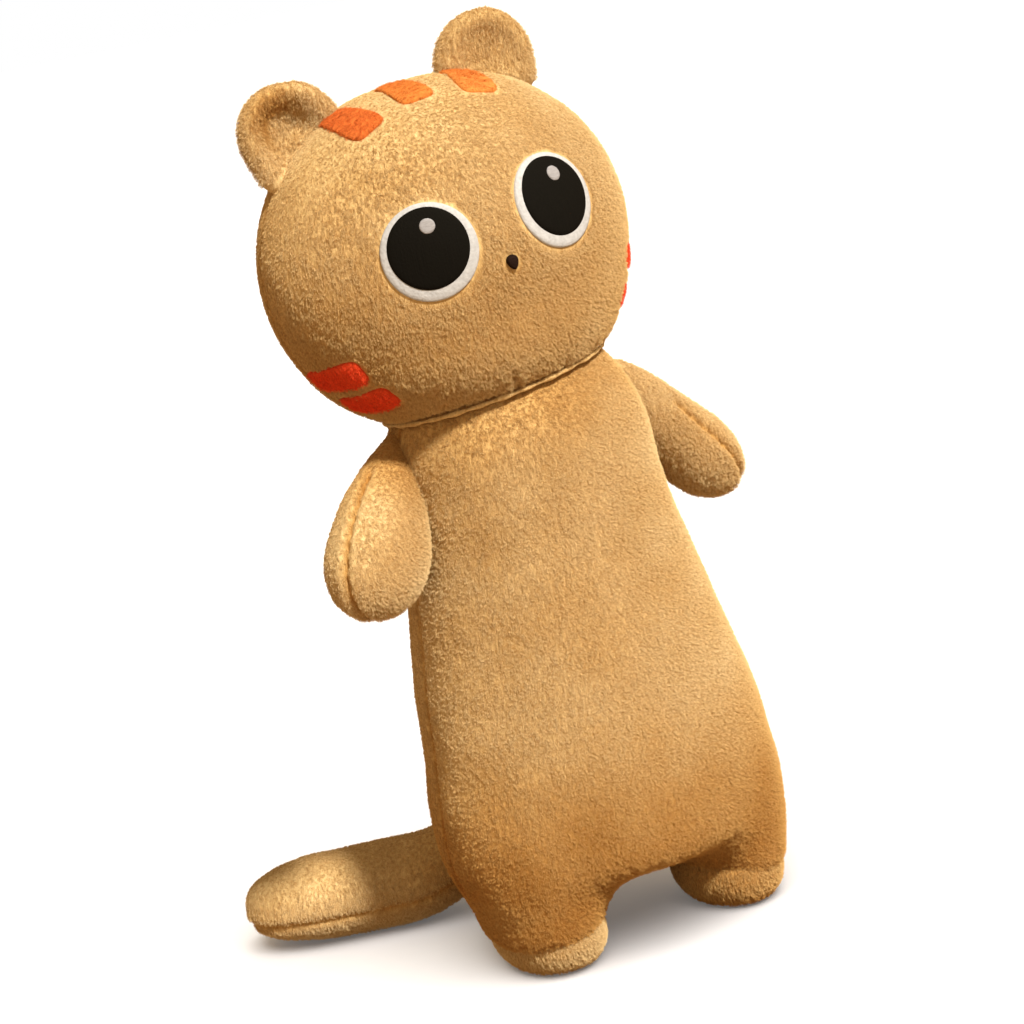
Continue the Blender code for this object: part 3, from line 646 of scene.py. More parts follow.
def torso_rings(bm):
    rings = []
    bottom = CROTCH_Z + PILE_DEPTH
    for angle in (12, 28, 45, 62, 76):
        share = cos(radians(angle))
        z = HIP_Z - (HIP_Z - bottom) * share
        width, depth = torso_sizes(HIP_Z)
        squash = super_arc(share, 2.6)
        rings.append(torso_ring(z, width * squash, depth * squash))
    for i in range(25):
        z = HIP_Z + (NECK_Z - HIP_Z) * i / 25
        rings.append(torso_ring(z, *torso_sizes(z)))
    radius = DOME_R - PILE_DEPTH
    for angle in range(0, 90, 6):
        z = NECK_Z + radius * sin(radians(angle))
        rings.append(torso_ring(z, radius * cos(radians(angle)), radius * cos(radians(angle))))
    low = SHIFT + Vector((HIP_X, 0, bottom))
    skin_rings(bm, rings, low, NECK + Vector((0, 0, radius)))


def torso_ring(z, width, depth):
    centre = SHIFT + Vector((torso_axis_x(min(z, NECK_Z)), 0.0, z))
    return ellipse(centre, Vector((width, 0, 0)), Vector((0, depth, 0)))


def leg_rings(bm, sign):
    """A short stout leg that runs up inside the hips, flush with their outer side."""
    rings = []
    stations = (
        (0.0200, 0.0300, 0.0385), (0.0215, 0.0325, 0.0415), (0.0250, 0.0350, 0.0450),
        (0.0310, 0.0372, 0.0500), (0.0400, 0.0400, 0.0560), (0.0520, 0.0440, 0.0630),
        (0.0660, 0.0470, 0.0700), (0.0850, 0.0440, 0.0680), (0.1050, 0.0330, 0.0500),
    )
    for z, half_width, half_depth in stations:
        rise = float(ease((z - 0.020) / 0.045))
        half_width -= (0.0070 if sign > 0.0 else 0.0030) * (1.0 - 0.6 * rise)
        x = sign * (LEG_OUTER_X + LEG_SPREAD * rise - half_width) + HIP_X
        y = LEG_Y * (1.0 - rise)
        centre = SHIFT + Vector((x, y, z))
        rings.append(ellipse(centre, Vector((half_width, 0, 0)), Vector((0, half_depth, 0))))
    bottom = SHIFT + Vector((sign * LEG_X, LEG_Y, 0.0195))
    top = SHIFT + Vector((sign * LEG_X * 0.9, 0.0, 0.115))
    skin_rings(bm, rings, bottom, top)


def soften(obj, weights, passes):
    """Smooth only where weights says, so that forms flow into one another."""
    weight_group(obj, "soft", weights)
    relax = obj.modifiers.new("soften", "SMOOTH")
    relax.factor = 0.5
    relax.iterations = passes
    relax.vertex_group = "soft"
    bake_modifiers(obj)
    obj.vertex_groups.clear()


def build_body():
    bm = bmesh.new()
    torso_rings(bm)
    for sign in (-1.0, 1.0):
        leg_rings(bm, sign)
    body = object_from("body_skin", bm, PLUSH)
    remesh(body, 0.005, 6)
    height = points_of(body)[:, 2]
    groin = ease((height - 0.026) / 0.010) * ease((0.098 - height) / 0.030)
    soften(body, groin, 46)
    points = points_of(body)
    near_neck = ease((points[:, 2] - (NECK_Z + 0.005)) / 0.02)
    side_seam = bell(points[:, 1] - SHIFT.y, SIDE_SEAM_WIDTH) * (points[:, 2] > 0.06)
    inflate(body, 0.0012, np.maximum(near_neck, 0.8 * side_seam))
    subdivide(body)
    roughen(body, 0.060, 0.0018, 1)
    roughen(body, 0.025, 0.0007, 2)
    points = points_of(body)
    seam = np.where(points[:, 2] < 0.05, 1.0, points[:, 1] - SHIFT.y)
    seam_groove(body, seam, 0.0016, points[:, 2])
    for sign in (-1.0, 1.0):
        add_leg_creases(body, sign)
    cover_body(body)
    finish_piece(body, "torso", ("torso_front_panel", "torso_back_panel"))


def cover_body(body):
    """Painted shade and pile, but no pile under the head where it sits over the neck."""
    points = points_of(body)
    height = points[:, 2]
    neck_distance = np.linalg.norm(points - np.array(NECK), axis=1)
    up = (points - np.array(NECK)) @ np.array(joint_axis("neck_turn"))
    hidden = (neck_distance < DOME_R + 0.004) & (up > 0.050)
    side = along_seam(points[:, 1] - SHIFT.y) * (height > 0.05)
    # Painted shade: darker lower down, on the right flank, under the head and along the side seam.
    low = 0.41 * ease((0.16 - height) / 0.12)
    flank_painted_shade = 0.06 * ease((SHIFT.x - 0.045 - points[:, 0]) / 0.05) * (height > 0.05)
    throat_painted_shade = 0.20 * ease((up + 0.012) / 0.055)
    set_painted_shade(body, 1.0 - low - flank_painted_shade - throat_painted_shade - 0.4 * side)
    weights = (1.0 - hidden.astype(float)) * (1.0 - 0.7 * side)
    add_pile(body, STRANDS, weights, TAN_PILE, 11)


# Height, rise towards the inner side, depth and reach in degrees of each ankle fold
LEG_FOLDS = ((0.027, 0.016, 0.0018, 105.0), (0.034, 0.012, 0.0012, 70.0), (0.023, 0.006, 0.0010, 85.0))


def add_leg_creases(body, sign):
    """Folds round the front of each ankle."""
    centre = SHIFT + Vector((sign * LEG_X, LEG_Y, 0.0))
    for height, inner_rise, depth, reach in LEG_FOLDS:
        path = []
        start = 270 - sign * 80
        for step in range(13):
            turn = radians(start + sign * reach * step / 12.0)
            rise = inner_rise * (1.0 - step / 12.0)
            path.append(centre + Vector((0.044 * cos(turn), 0.060 * sin(turn), height + rise)))
        crease(body, path, 0.0030, depth, 0.4, 0.3)


# ---- feet


def build_foot(side, sign):
    bm = bmesh.new()
    rings = []
    stations = (
        (0.0015, 0.56), (0.0022, 0.70), (0.0050, 0.83), (0.0100, 0.94), (0.0160, 1.0),
        (0.0230, 0.99), (0.0300, 0.93), (0.0370, 0.80), (0.0430, 0.60),
    )
    pivot = joint_place(f"ankle_{side}")
    out, wide = (0.0025, 0.0312) if sign < 0.0 else (0.0055, 0.0300)
    for z, share in stations:
        centre = Vector((pivot.x + out, pivot.y, z))
        rings.append(ellipse(centre, Vector((wide * share, 0, 0)), Vector((0, 0.0425 * share, 0))))
    low = Vector((pivot.x + out, pivot.y, 0.0013))
    skin_rings(bm, rings, low, Vector((pivot.x + out, pivot.y, 0.0455)))
    foot = object_from(f"foot_skin_{side}", bm, PLUSH)
    remesh(foot, 0.004, 3)
    points = points_of(foot)
    inflate(foot, 0.0010, ease((0.008 - points[:, 2]) / 0.004))
    subdivide(foot)
    roughen(foot, 0.030, 0.0014, 5 + sign)
    points = points_of(foot)
    points[:, 2] = np.maximum(points[:, 2], 0.0012)
    set_points(foot, points)
    height = points[:, 2]
    weights = ease((height - 0.0016) / 0.002) * ease((0.034 - height) / 0.004)
    # Painted shade: the left foot is darker all over, and both feet darken towards the floor.
    foot_painted_shade_level = 0.95 if sign < 0.0 else 0.74
    set_painted_shade(foot, foot_painted_shade_level - 0.30 * ease((0.012 - height) / 0.012))
    add_pile(foot, STRANDS, weights, TAN_PILE, 21)
    finish_piece(foot, f"foot_{side}", (f"foot_panel_{side}",))


# ---- head


def head_rim_z():
    return -HEAD_HALF_HEIGHT * super_arc(NECK_HOLE_R / HEAD_HALF_WIDTH, HEAD_SQUARENESS)


def head_sizes(z):
    width = HEAD_HALF_WIDTH * super_arc(z / HEAD_HALF_HEIGHT, HEAD_SQUARENESS) - PILE_DEPTH
    rim = head_rim_z()
    chin = float(ease((CHIN_START_Z - z) / (CHIN_START_Z - rim)))
    return width, width * (HEAD_DEPTH_RATIO + (1.0 - HEAD_DEPTH_RATIO) * chin)


def build_head():
    """An oval that is hollowed below where it sits over the neck's dome."""
    bm = bmesh.new()
    rim = head_rim_z()
    rings = []
    for angle in range(8, 56, 6):
        radius = SOCKET_R * sin(radians(angle))
        z = -HEAD_RISE + SOCKET_R * cos(radians(angle))
        rings.append(head_ring(z, radius, radius))
    rings.append(head_ring(rim - 0.0004, NECK_HOLE_R - 0.001, NECK_HOLE_R - 0.001))
    rings.append(head_ring(rim + 0.0002, NECK_HOLE_R + 0.002, NECK_HOLE_R + 0.002))
    steps = 40
    start = rim + 0.003
    for i in range(steps):
        share = 0.5 - 0.5 * cos(pi * (i + 0.3) / steps)
        z = start + (HEAD_HALF_HEIGHT - PILE_DEPTH - start) * share
        rings.append(head_ring(z, *head_sizes(z)))
    start_point = HEAD @ Vector((0, 0, -HEAD_RISE + SOCKET_R))
    skin_rings(bm, rings, start_point, HEAD @ Vector((0, 0, HEAD_HALF_HEIGHT - PILE_DEPTH)))
    head = object_from("head_skin", bm, PLUSH)
    remesh(head, 0.005, 4)
    local = local_points(head, HEAD)
    near_rim = ease((rim + 0.016 - local[:, 2]) / 0.012)
    inflate(head, 0.002, near_rim)
    subdivide(head)
    roughen(head, 0.070, 0.0016, 3)
    roughen(head, 0.028, 0.0006, 4)
    local = local_points(head, HEAD)
    seam = np.where(local[:, 2] > -0.075, local[:, 1] - 0.004, 1.0)
    seam_groove(head, seam, 0.0010, np.arctan2(local[:, 0], local[:, 2]) * 0.1)
    add_chin_folds(head)
    return head


def head_ring(z, width, depth):
    across = HEAD.to_3x3() @ Vector((width, 0, 0))
    along = HEAD.to_3x3() @ Vector((0, depth, 0))
    return ellipse(HEAD @ Vector((0, 0, z)), across, along, 64)


# Place round the neck in degrees, length and depth of each fold
CHIN_FOLDS = (
    (258, 0.020, 0.0016), (236, 0.014, 0.0008), (284, 0.013, 0.0010),
    (305, 0.014, 0.0009), (214, 0.012, 0.0007), (330, 0.012, 0.0008),
)


def add_chin_folds(head):
    """A dart at the chin and the gathers where the head is sewn to the neck."""
    rim = head_rim_z()
    for degrees, length, depth in CHIN_FOLDS:
        turn = radians(degrees)
        out = Vector((cos(turn), sin(turn), 0.0))
        foot = out * (NECK_HOLE_R + 0.001) + Vector((0, 0, rim))
        far = out * (NECK_HOLE_R + 0.55 * length) + Vector((0, 0, rim + 0.7 * length))
        crease(head, [HEAD @ foot, HEAD @ far], 0.0020, depth, 0.35, 0.0)


def cover_head(head, covers):
    local = local_points(head, HEAD)
    # Painted shade under the chin, on the head's right side and along the seam.
    chin = 0.12 * ease((0.010 - local[:, 2]) / 0.050)
    cheek = 0.12 * ease((-0.045 - local[:, 0]) / 0.055)
    set_painted_shade(head, 1.0 - chin - cheek - 0.3 * along_seam(local[:, 1] - 0.004))
    add_pile(head, STRANDS, pile_round_face(head, covers), TAN_PILE, 12)
    finish_piece(head, "head", ("head_front_panel", "head_back_panel"))


# ---- sewn-on pieces


def hit(surface, local):
    """The skin's point and normal where the ray from the head's middle through local leaves."""
    origin = HEAD @ Vector((0, 0, 0))
    direction = (HEAD @ local - origin).normalized()
    return surface.ray_cast(origin + direction * 0.3, -direction)[:2]


PATCH_SINK = 0.0012
STRIPE_SQUARENESS = 4.5


def patch(name, surface, material, centre, outline, height, dome=0.0, rings=10, segments=64):
    """A sewn patch over the skin: a rounded edge, a top that follows the skin, a hidden back."""
    foot, normal = hit(surface, Vector(centre))
    local_normal = (HEAD.to_3x3().inverted() @ normal).normalized()
    if local_normal.z > 0.7:
        right = (Vector((1, 0, 0)) - local_normal * local_normal.x).normalized()
    else:
        right = Vector((0, 0, 1)).cross(local_normal).normalized()
    up = local_normal.cross(right)
    origin = HEAD.inverted() @ foot

    def on_skin(spot, lift):
        point, direction = hit(surface, origin + right * spot.x + up * spot.y)
        return point + direction * lift

    bm = bmesh.new()
    edge = [Vector(outline(2.0 * pi * i / segments)) for i in range(segments)]
    heart = sum(edge, Vector((0.0, 0.0))) / segments
    sheets = []
    for top in (True, False):
        middle = bm.verts.new(on_skin(heart, height + dome if top else -PATCH_SINK))
        loops = []
        for k in range(1, rings + 1):
            share = sin(0.5 * pi * k / rings)
            lift = -PATCH_SINK
            if top:
                rounding = min(1.0, 1.6 * super_arc(share, 2.0) ** 0.5)
                lift = height * rounding + dome * (1.0 - share * share)
            spots = (heart + (point - heart) * share for point in edge)
            loops.append([bm.verts.new(on_skin(spot, lift)) for spot in spots])
        sheets.append((middle, loops))
    join_sheets(bm, sheets)
    return object_from(name, bm, material)


def disc(radius, x=0.0, z=0.0):
    return lambda turn: (x + radius * cos(turn), z + radius * sin(turn))


def stripe_outline(half_width, half_length, flare, twist):
    def outline(turn):
        v = half_length * rounded(sin(turn), STRIPE_SQUARENESS)
        u = half_width * rounded(cos(turn), STRIPE_SQUARENESS) * (1.0 - flare * v / half_length)
        return u * cos(twist) - v * sin(twist), u * sin(twist) + v * cos(twist)

    return outline


def nose_outline(turn):
    v = sin(turn)
    return 0.0042 * cos(turn) * (0.72 + 0.28 * v), 0.0041 * v


def eye_centre(sign):
    share = 1.0 - abs(EYE_Z / HEAD_HALF_HEIGHT) ** HEAD_SQUARENESS
    flat = share ** (2.0 / HEAD_SQUARENESS) - (EYE_X / HEAD_HALF_WIDTH) ** 2
    return (sign * EYE_X, -HEAD_HALF_WIDTH * HEAD_DEPTH_RATIO * sqrt(flat), EYE_Z)


EVEN = (1.0, 1.0, 1.0)
SIDEWAYS = (0.1, 1.0, 1.0)
WHITE_FELT = stitched_material("white_felt", (0.52, 0.51, 0.49), 0.9, 500.0, EVEN)
BLACK_SATIN = stitched_material(
    "black_satin", (0.0045, 0.0035, 0.0018), 0.85, 1400.0, (1.0, 1.0, 0.05)
)
GLINT = stitched_material("glint_thread", (0.34, 0.32, 0.31), 0.7, 1200.0, SIDEWAYS)
NOSE_THREAD = stitched_material("nose_thread", (0.016, 0.007, 0.004), 0.8, 1500.0, SIDEWAYS, 0.0006)


def build_eye(side, sign, surface):
    centre = eye_centre(sign)
    white = patch(f"white_disc_{side}", surface, WHITE_FELT, centre, disc(EYE_WHITE_R), 0.0016)
    shift = EYE_WHITE_R - EYE_BLACK_R - 0.0023
    black_disc = disc(EYE_BLACK_R, 0.0, shift * 0.75)
    black = patch(f"black_disc_{side}", surface, BLACK_SATIN, centre, black_disc, 0.0026, 0.0006)
    spot = disc(GLINT_R, GLINT_X, GLINT_Z)
    glint = patch(f"glint_disc_{side}", surface, GLINT, centre, spot, 0.0035, 0.0, 5, 32)
    finish_piece(white, "head", (f"eye_white_{side}",))
    finish_piece(black, "head", (f"eye_black_{side}",))
    finish_piece(glint, "head", (f"eye_glint_{side}",))
    return white


# Name, middle, half width, half length, flare, and for the crown also twist
CROWN_STRIPES = (
    ("crown_stripe_right", (-0.0340, -0.0230, 0.0820), 0.0098, 0.0260, 0.25, radians(6)),
    ("crown_stripe_centre", (0.0000, -0.0215, 0.0880), 0.0092, 0.0255, 0.30, 0.0),
    ("crown_stripe_left", (0.0360, -0.0240, 0.0810), 0.0098, 0.0260, 0.25, radians(-6)),
)
CHEEK_STRIPES = (
    ("cheek_stripe_upper", (0.0920, -0.0190, -0.0395), 0.0078, 0.0255, 0.20),
    ("cheek_stripe_lower", (0.0810, -0.0220, -0.0590), 0.0078, 0.0230, 0.15),
)
ORANGES = ((0.74, 0.175, 0.032), (0.78, 0.245, 0.045), (0.80, 0.275, 0.056))
RED_ORANGE = (0.93, 0.088, 0.022)


def coloured_pile(name, colour):
    # The darker tone in the grain's hollows and at the strands' roots is painted shade.
    skin = plush_material(f"{name}_plush", colour, scaled(colour, 0.62))
    strands = strand_material(f"{name}_strands", scaled(colour, 0.62), scaled(colour, 1.08))
    return skin, strands


def build_stripe(name, surface, materials, centre, shape, seed):
    skin, strands = materials
    outline = stripe_outline(*shape)
    bar = patch(f"{name}_patch", surface, skin, centre, outline, 0.0014, 0.0004, 8, 56)
    add_pile(bar, strands, None, STRIPE_PILE, seed)
    finish_piece(bar, "head", (name,))
    return bar


def build_face(head):
    surface = BVHTree.FromObject(head, bpy.context.evaluated_depsgraph_get())
    covers = [build_eye("right", -1.0, surface), build_eye("left", 1.0, surface)]
    place = (0.0, -0.09, NOSE_Z)
    nose = patch("nose_embroidery", surface, NOSE_THREAD, place, nose_outline, 0.0026, 0.0008, 6, 32)
    finish_piece(nose, "head", ("nose",))
    for tone, (name, centre, *shape) in enumerate(CROWN_STRIPES):
        pile = coloured_pile(f"crown_{tone}", ORANGES[tone])
        bar = build_stripe(name, surface, pile, centre, shape, 41 + tone)
        covers.append(bar)
    pile = coloured_pile("cheek", RED_ORANGE)
    for side, sign in (("right", -1.0), ("left", 1.0)):
        for name, centre, half_width, half_length, flare in CHEEK_STRIPES:
            shape = (half_width, half_length, flare * sign, sign * radians(90))
            place = (sign * centre[0], centre[1], centre[2])
            bar = build_stripe(f"{name}_{side}", surface, pile, place, shape, 51)
            covers.append(bar)
    return covers + [nose]


def pile_round_face(head, covers):
    """No pile grows under the sewn-on pieces, nor inside the neck's hollow."""
    local = local_points(head, HEAD)
    weights = np.ones(len(local))
    for cover in covers:
        edge = local_points(cover, HEAD)
        middle = edge.mean(axis=0)
        reach = np.linalg.norm(edge - middle, axis=1).max() + 0.006
        near = np.flatnonzero(np.linalg.norm(local - middle, axis=1) < reach)
        tree = KDTree(len(edge))
        for index, point in enumerate(edge):
            tree.insert(point, index)
        tree.balance()
        for index in near:
            gap = tree.find(local[index])[2]
            weights[index] = min(weights[index], float(ease((gap - 0.0012) / 0.0010)))
    inside = np.linalg.norm(local - np.array((0, 0, -HEAD_RISE)), axis=1) < SOCKET_R + 0.003
    weights[inside] = 0.0
    return weights


# ---- neck seam


def build_neck_seam():
    """A soft welt of gathered cloth round the foot of the head."""
    bm = bmesh.new()
    rim = head_rim_z()
    count, sides = 180, 8
    loops = []
    for i in range(count):
        turn = 2.0 * pi * i / count
        out = Vector((cos(turn), sin(turn), 0.0))
        radius = 0.0013 + 0.0003 * sin(turn * 29.0) + 0.0002 * sin(turn * 13.0 + 1.0)
        reach = NECK_HOLE_R + 0.0006 + 0.0002 * sin(turn * 17.0)
        centre = out * reach + Vector((0, 0, rim - 0.0012))
        around = (2.0 * pi * k / sides for k in range(sides))
        loops.append([
            bm.verts.new(HEAD @ (centre + out * radius * cos(a) + Vector((0, 0, radius * sin(a)))))
            for a in around
        ])
    for i in range(count):
        here, after = loops[i], loops[(i + 1) % count]
        for k in range(sides):
            m = (k + 1) % sides
            bm.faces.new((here[k], after[k], after[m], here[m]))
    welt = object_from("neck_welt", bm, PLUSH)
    set_painted_shade(welt, np.full(len(welt.data.vertices), 0.95))
    finish_piece(welt, "neck_ring", ("neck_seam_thread",))


# ---- ears


def ear_outline(turn, sign, lobe):
    """The ear's edge, with a lobe on its outer side that runs down the head."""
    u = EAR_HALF_WIDTH * rounded(cos(turn), 2.3)
    if sin(turn) >= 0.0:
        return u - sign * lobe * 0.12, EAR_HEIGHT * rounded(sin(turn), 2.2)
    outer = float(ease(u * sign / EAR_HALF_WIDTH * 0.5 + 0.5))
    v = (EAR_FOOT - lobe * outer) * (-sin(turn)) ** 0.6
    u *= 1.0 - 14.0 * lobe * outer * float(ease(-v / 0.030))
    return u - sign * lobe * 0.12, v


def ear_face(scale, cup, front):
    """The cloth's place behind the ear's middle plane; scale is 0 in the middle, 1 at the edge."""
    rim = bell(scale - 0.74, 0.20) * 0.0055
    dish = cup * (1.0 - scale**2) ** 2.0
    edge = super_arc(scale, 2.6)
    if front:
        return -EAR_THICK * edge - rim * edge**0.5 + dish
    return EAR_THICK * edge * 0.9 + dish * 0.6


def ear_sheet(bm, place, sign, cup, lobe, front):
    rings, segments = 22, 72
    centre = bm.verts.new(place @ Vector((0.0, ear_face(0.0, cup, front), EAR_MIDDLE)))
    loops = []
    for k in range(1, rings + 1):
        scale = sin(0.5 * pi * k / rings)
        depth = ear_face(scale, cup, front)
        loop = []
        for i in range(segments):
            u, v = ear_outline(2.0 * pi * i / segments, sign, lobe)
            point = Vector((u * scale, depth, EAR_MIDDLE + (v - EAR_MIDDLE) * scale))
            loop.append(bm.verts.new(place @ point))
        loops.append(loop)
    return centre, loops


def build_ear(side, sign, cup, lobe):
    """A padded ear: a thick rolled rim round a hollow."""
    place = ear_matrix(side)
    bm = bmesh.new()
    join_sheets(bm, [ear_sheet(bm, place, sign, cup, lobe, front) for front in (True, False)])
    bmesh.ops.remove_doubles(bm, verts=bm.verts, dist=0.00005)
    ear = object_from(f"ear_skin_{side}", bm, PLUSH)
    remesh(ear, 0.0028, 5)
    roughen(ear, 0.018, 0.0016, 7 + sign)
    subdivide(ear)
    local = local_points(ear, place)
    across = local[:, 0] / (0.62 * EAR_HALF_WIDTH)
    hollow = np.hypot(across, (local[:, 2] - EAR_MIDDLE - 0.004) / (0.55 * EAR_HEIGHT))
    inner = (1.0 - ease((hollow - 0.25) / 0.85)) * ease((0.004 - local[:, 1]) / 0.004)
    # Painted shade in the right ear's hollow; the left ear, without a lobe, gets none.
    set_painted_shade(ear, 1.0 - (0.47 if lobe else 0.0) * inner)
    add_pile(ear, STRANDS, ease((local[:, 2] + 0.006) / 0.004), EAR_PILE, 31)
    finish_piece(ear, f"ear_{side}", (f"ear_front_{side}", f"ear_back_{side}"))


# ---- arms


ARM_STATIONS = (-0.036, -0.016, 0.0, 0.022, 0.040)
ARM_GIRTHS = {"right": (0.14, 0.36, 0.64, 0.90, 1.0), "left": (0.44, 0.62, 0.80, 0.95, 1.0)}


def arm_share(t, girths):
    """The arm's girth at distance t from the shoulder, as a share of the paw's."""
    root = float(np.interp(t, ARM_STATIONS, girths))
    if t < 0.0:
        return root * super_arc(t / 0.040, 4.0)
    if t <= PAW_START:
        return root
    return root * super_arc((t - PAW_START) / (ARM_LENGTH - PAW_START), 2.2)


def tip_stations(start, end, angles):
    """Stations that crowd together towards a round tip."""
    return [start + (end - start) * sin(radians(angle)) for angle in angles]


def build_arm(side, sign, aim, roll, half_width, half_depth, bend):
    shoulder = joint_place(f"shoulder_swing_{side}")
    place = limb_matrix(aim, shoulder, roll)
    turn = place.to_3x3()
    bm = bmesh.new()
    rings = []
    stations = [-0.036, -0.030, -0.022, -0.012, 0.0, 0.010, 0.020, 0.030, 0.038, PAW_START]
    for t in stations + tip_stations(PAW_START, ARM_LENGTH, (18, 34, 50, 64, 76, 84)):
        share = arm_share(t, ARM_GIRTHS[side])
        centre = place @ (Vector((t, 0, 0)) + bend * float(ease(t / 0.055)))
        across = turn @ Vector((0, 0, (half_width - PILE_DEPTH) * share))
        along = turn @ Vector((0, (half_depth - PILE_DEPTH) * share, 0))
        rings.append(ellipse(centre, across, along, 40))
    tip = place @ (Vector((ARM_LENGTH - PILE_DEPTH, 0, 0)) + bend)
    skin_rings(bm, rings, place @ Vector((-0.040, 0, 0)), tip)
    arm = object_from(f"arm_skin_{side}", bm, PLUSH)
    remesh(arm, 0.004, 4)
    local = local_points(arm, place)
    seam = bell(local[:, 1], SIDE_SEAM_WIDTH) * (local[:, 0] > 0.0)
    inflate(arm, 0.0015, np.maximum(0.8 * seam, ease(-local[:, 0] / 0.01)))
    subdivide(arm)
    roughen(arm, 0.035, 0.0016, 9 + sign)
    local = local_points(arm, place)
    stitched = np.where(local[:, 0] > 0.004, local[:, 1] - bend.y, 1.0)
    seam_groove(arm, stitched, 0.0024, local[:, 0])
    seam = along_seam(stitched) * ease((local[:, 0] - 0.004) / 0.008)
    weights = ease((local[:, 0] + 0.034) / 0.004) * (1.0 - 0.7 * seam)
    # Painted shade along the seam; on the right arm also a painted shadow over the root at the shoulder.
    root = 0.34 * ease((0.034 - local[:, 0]) / 0.040) if side == "right" else 0.0
    set_painted_shade(arm, 1.0 - 0.35 * seam - root)
    add_pile(arm, STRANDS, weights, TAN_PILE, 61)
    panels = (f"arm_front_panel_{side}", f"arm_back_panel_{side}")
    finish_limb(arm, panels)


# ---- tail


def tail_sizes(t):
    """Half width and half height of the tail at distance t from its root."""
    grow = float(ease((t - 0.005) / 0.075))
    share = 1.0
    if t < 0.0:
        share = super_arc(t / 0.022, 2.0)
    elif t > TAIL_TAPERS_AT:
        share = super_arc((t - TAIL_TAPERS_AT) / (TAIL_LENGTH - TAIL_TAPERS_AT), 2.8)
    width = TAIL_ROOT_R + 0.0140 * grow - PILE_DEPTH
    height = TAIL_ROOT_R + 0.0055 * grow - PILE_DEPTH
    return width * share, height * share


def tail_drop(t):
    return TAIL_REST_DROP * ease(t / TAIL_SETTLES_AT)


def tail_seam(local):
    """Height above the seam along both sides of the tail."""
    return local[:, 2] + tail_drop(local[:, 0]) + TAIL_SEAM_DROP


def tail_mesh(place):
    bm = bmesh.new()
    rings = []
    stations = [-0.018, -0.010, 0.0, 0.010, 0.022, 0.034, 0.048, 0.062, 0.078, 0.094, 0.110]
    stations += [TAIL_TAPERS_AT] + tip_stations(TAIL_TAPERS_AT, TAIL_LENGTH, (22, 42, 58, 70, 80, 86))
    for t in stations:
        width, height = tail_sizes(t)
        centre = place @ Vector((t, 0, -float(tail_drop(t))))
        across = place.to_3x3() @ Vector((0, width, 0))
        rings.append(ellipse(centre, across, Vector((0, 0, height)), 44))
    tip = place @ Vector((TAIL_LENGTH - PILE_DEPTH, 0, -TAIL_REST_DROP))
    skin_rings(bm, rings, place @ Vector((-0.022, 0, 0)), tip)
    return bm


def build_tail():
    root = joint_place("tail_swing")
    aim = Vector((0, 0, 1)).cross(joint_axis("tail_lift")).normalized()
    place = limb_matrix(aim, root)
    tail = object_from("tail_skin", tail_mesh(place), PLUSH)
    remesh(tail, 0.0045, 4)
    local = local_points(tail, place)
    held = 0.8 * (local[:, 0] > 0.01).astype(float) * bell(tail_seam(local), SIDE_SEAM_WIDTH)
    inflate(tail, 0.003, np.maximum(held, ease(-local[:, 0] / 0.01)))
    subdivide(tail)
    roughen(tail, 0.045, 0.0022, 13)
    local = local_points(tail, place)
    along = local[:, 0]
    seam = np.where(along > 0.01, tail_seam(local), 1.0)
    seam_groove(tail, seam, 0.0018, along)
    points = points_of(tail)
    points[:, 2] = np.maximum(points[:, 2], 0.0015)
    set_points(tail, points)
    stitched = along_seam(seam)
    weights = ease((points[:, 2] - 0.0018) / 0.002) * ease((along + 0.002) / 0.004)
    # Painted shade along the seam, and a painted shadow of the body over the part near the root.
    behind = 0.22 * ease((0.105 - along) / 0.070)
    set_painted_shade(tail, 1.0 - 0.35 * stitched - behind)
    add_pile(tail, STRANDS, weights * (1.0 - 0.6 * stitched), TAN_PILE, 71)
    panels = ("tail_top_panel", "tail_bottom_panel")
    finish_limb(tail, panels)


# ---- stuffing


def keep_inside(filling, skin):
    """Draw every point of the filling to at least the cover's depth inside its own skin."""
    bm = bmesh.new()
    bm.from_mesh(skin.data)
    tree = BVHTree.FromBMesh(bm)
    bm.free()
    points = points_of(filling)
    for _ in range(3):
        for index, point in enumerate(points):
            near, normal, _, _ = tree.find_nearest(Vector(point))
            if (Vector(point) - near).dot(normal) > -FILLING_COVER:
                points[index] = near - normal * FILLING_COVER
    set_points(filling, points)


def filling_sizes(node):
    """Voxel, share of the wad's size, and unevenness."""
    small = max(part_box(node)[1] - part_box(node)[0]) < 0.08
    if node.startswith("ear"):
        return 0.0012, 0.72, 0.0004
    voxel = 0.0025 if small else 0.006
    if node.startswith(("arm", "tail_s")):
        return voxel, 0.80, 0.0012
    return voxel, 0.62 if node.startswith("shoulder") else 0.94, 0.0012


def build_fillings():
    """Lumpy fibre in place of every smooth wad, hidden inside the skins."""
    bodies = {}
    for body, nodes in frame["record"]["behaviour"]["bodies"].items():
        bodies.update({node: body for node in nodes if "stuffing" in node})
    for seed, (node, body) in enumerate(sorted(bodies.items())):
        mesh = frame["nodes"][node].data.copy()
        mesh.materials.clear()
        mesh.materials.append(FIBRE)
        filling = link_mesh(node.replace("stuffing", "fibrefill"), mesh)
        voxel, share, unevenness = filling_sizes(node)
        remesh(filling, voxel, 6)
        points = points_of(filling)
        middle = points.mean(axis=0)
        set_points(filling, middle + (points - middle) * share)
        roughen(filling, 0.012, unevenness, seed)
        skin = bpy.data.objects.get(node.replace("stuffing", "skin").replace("torso", "body"))
        if skin:
            keep_inside(filling, skin)
        finish_piece(filling, body, (node,))


# ---- studio


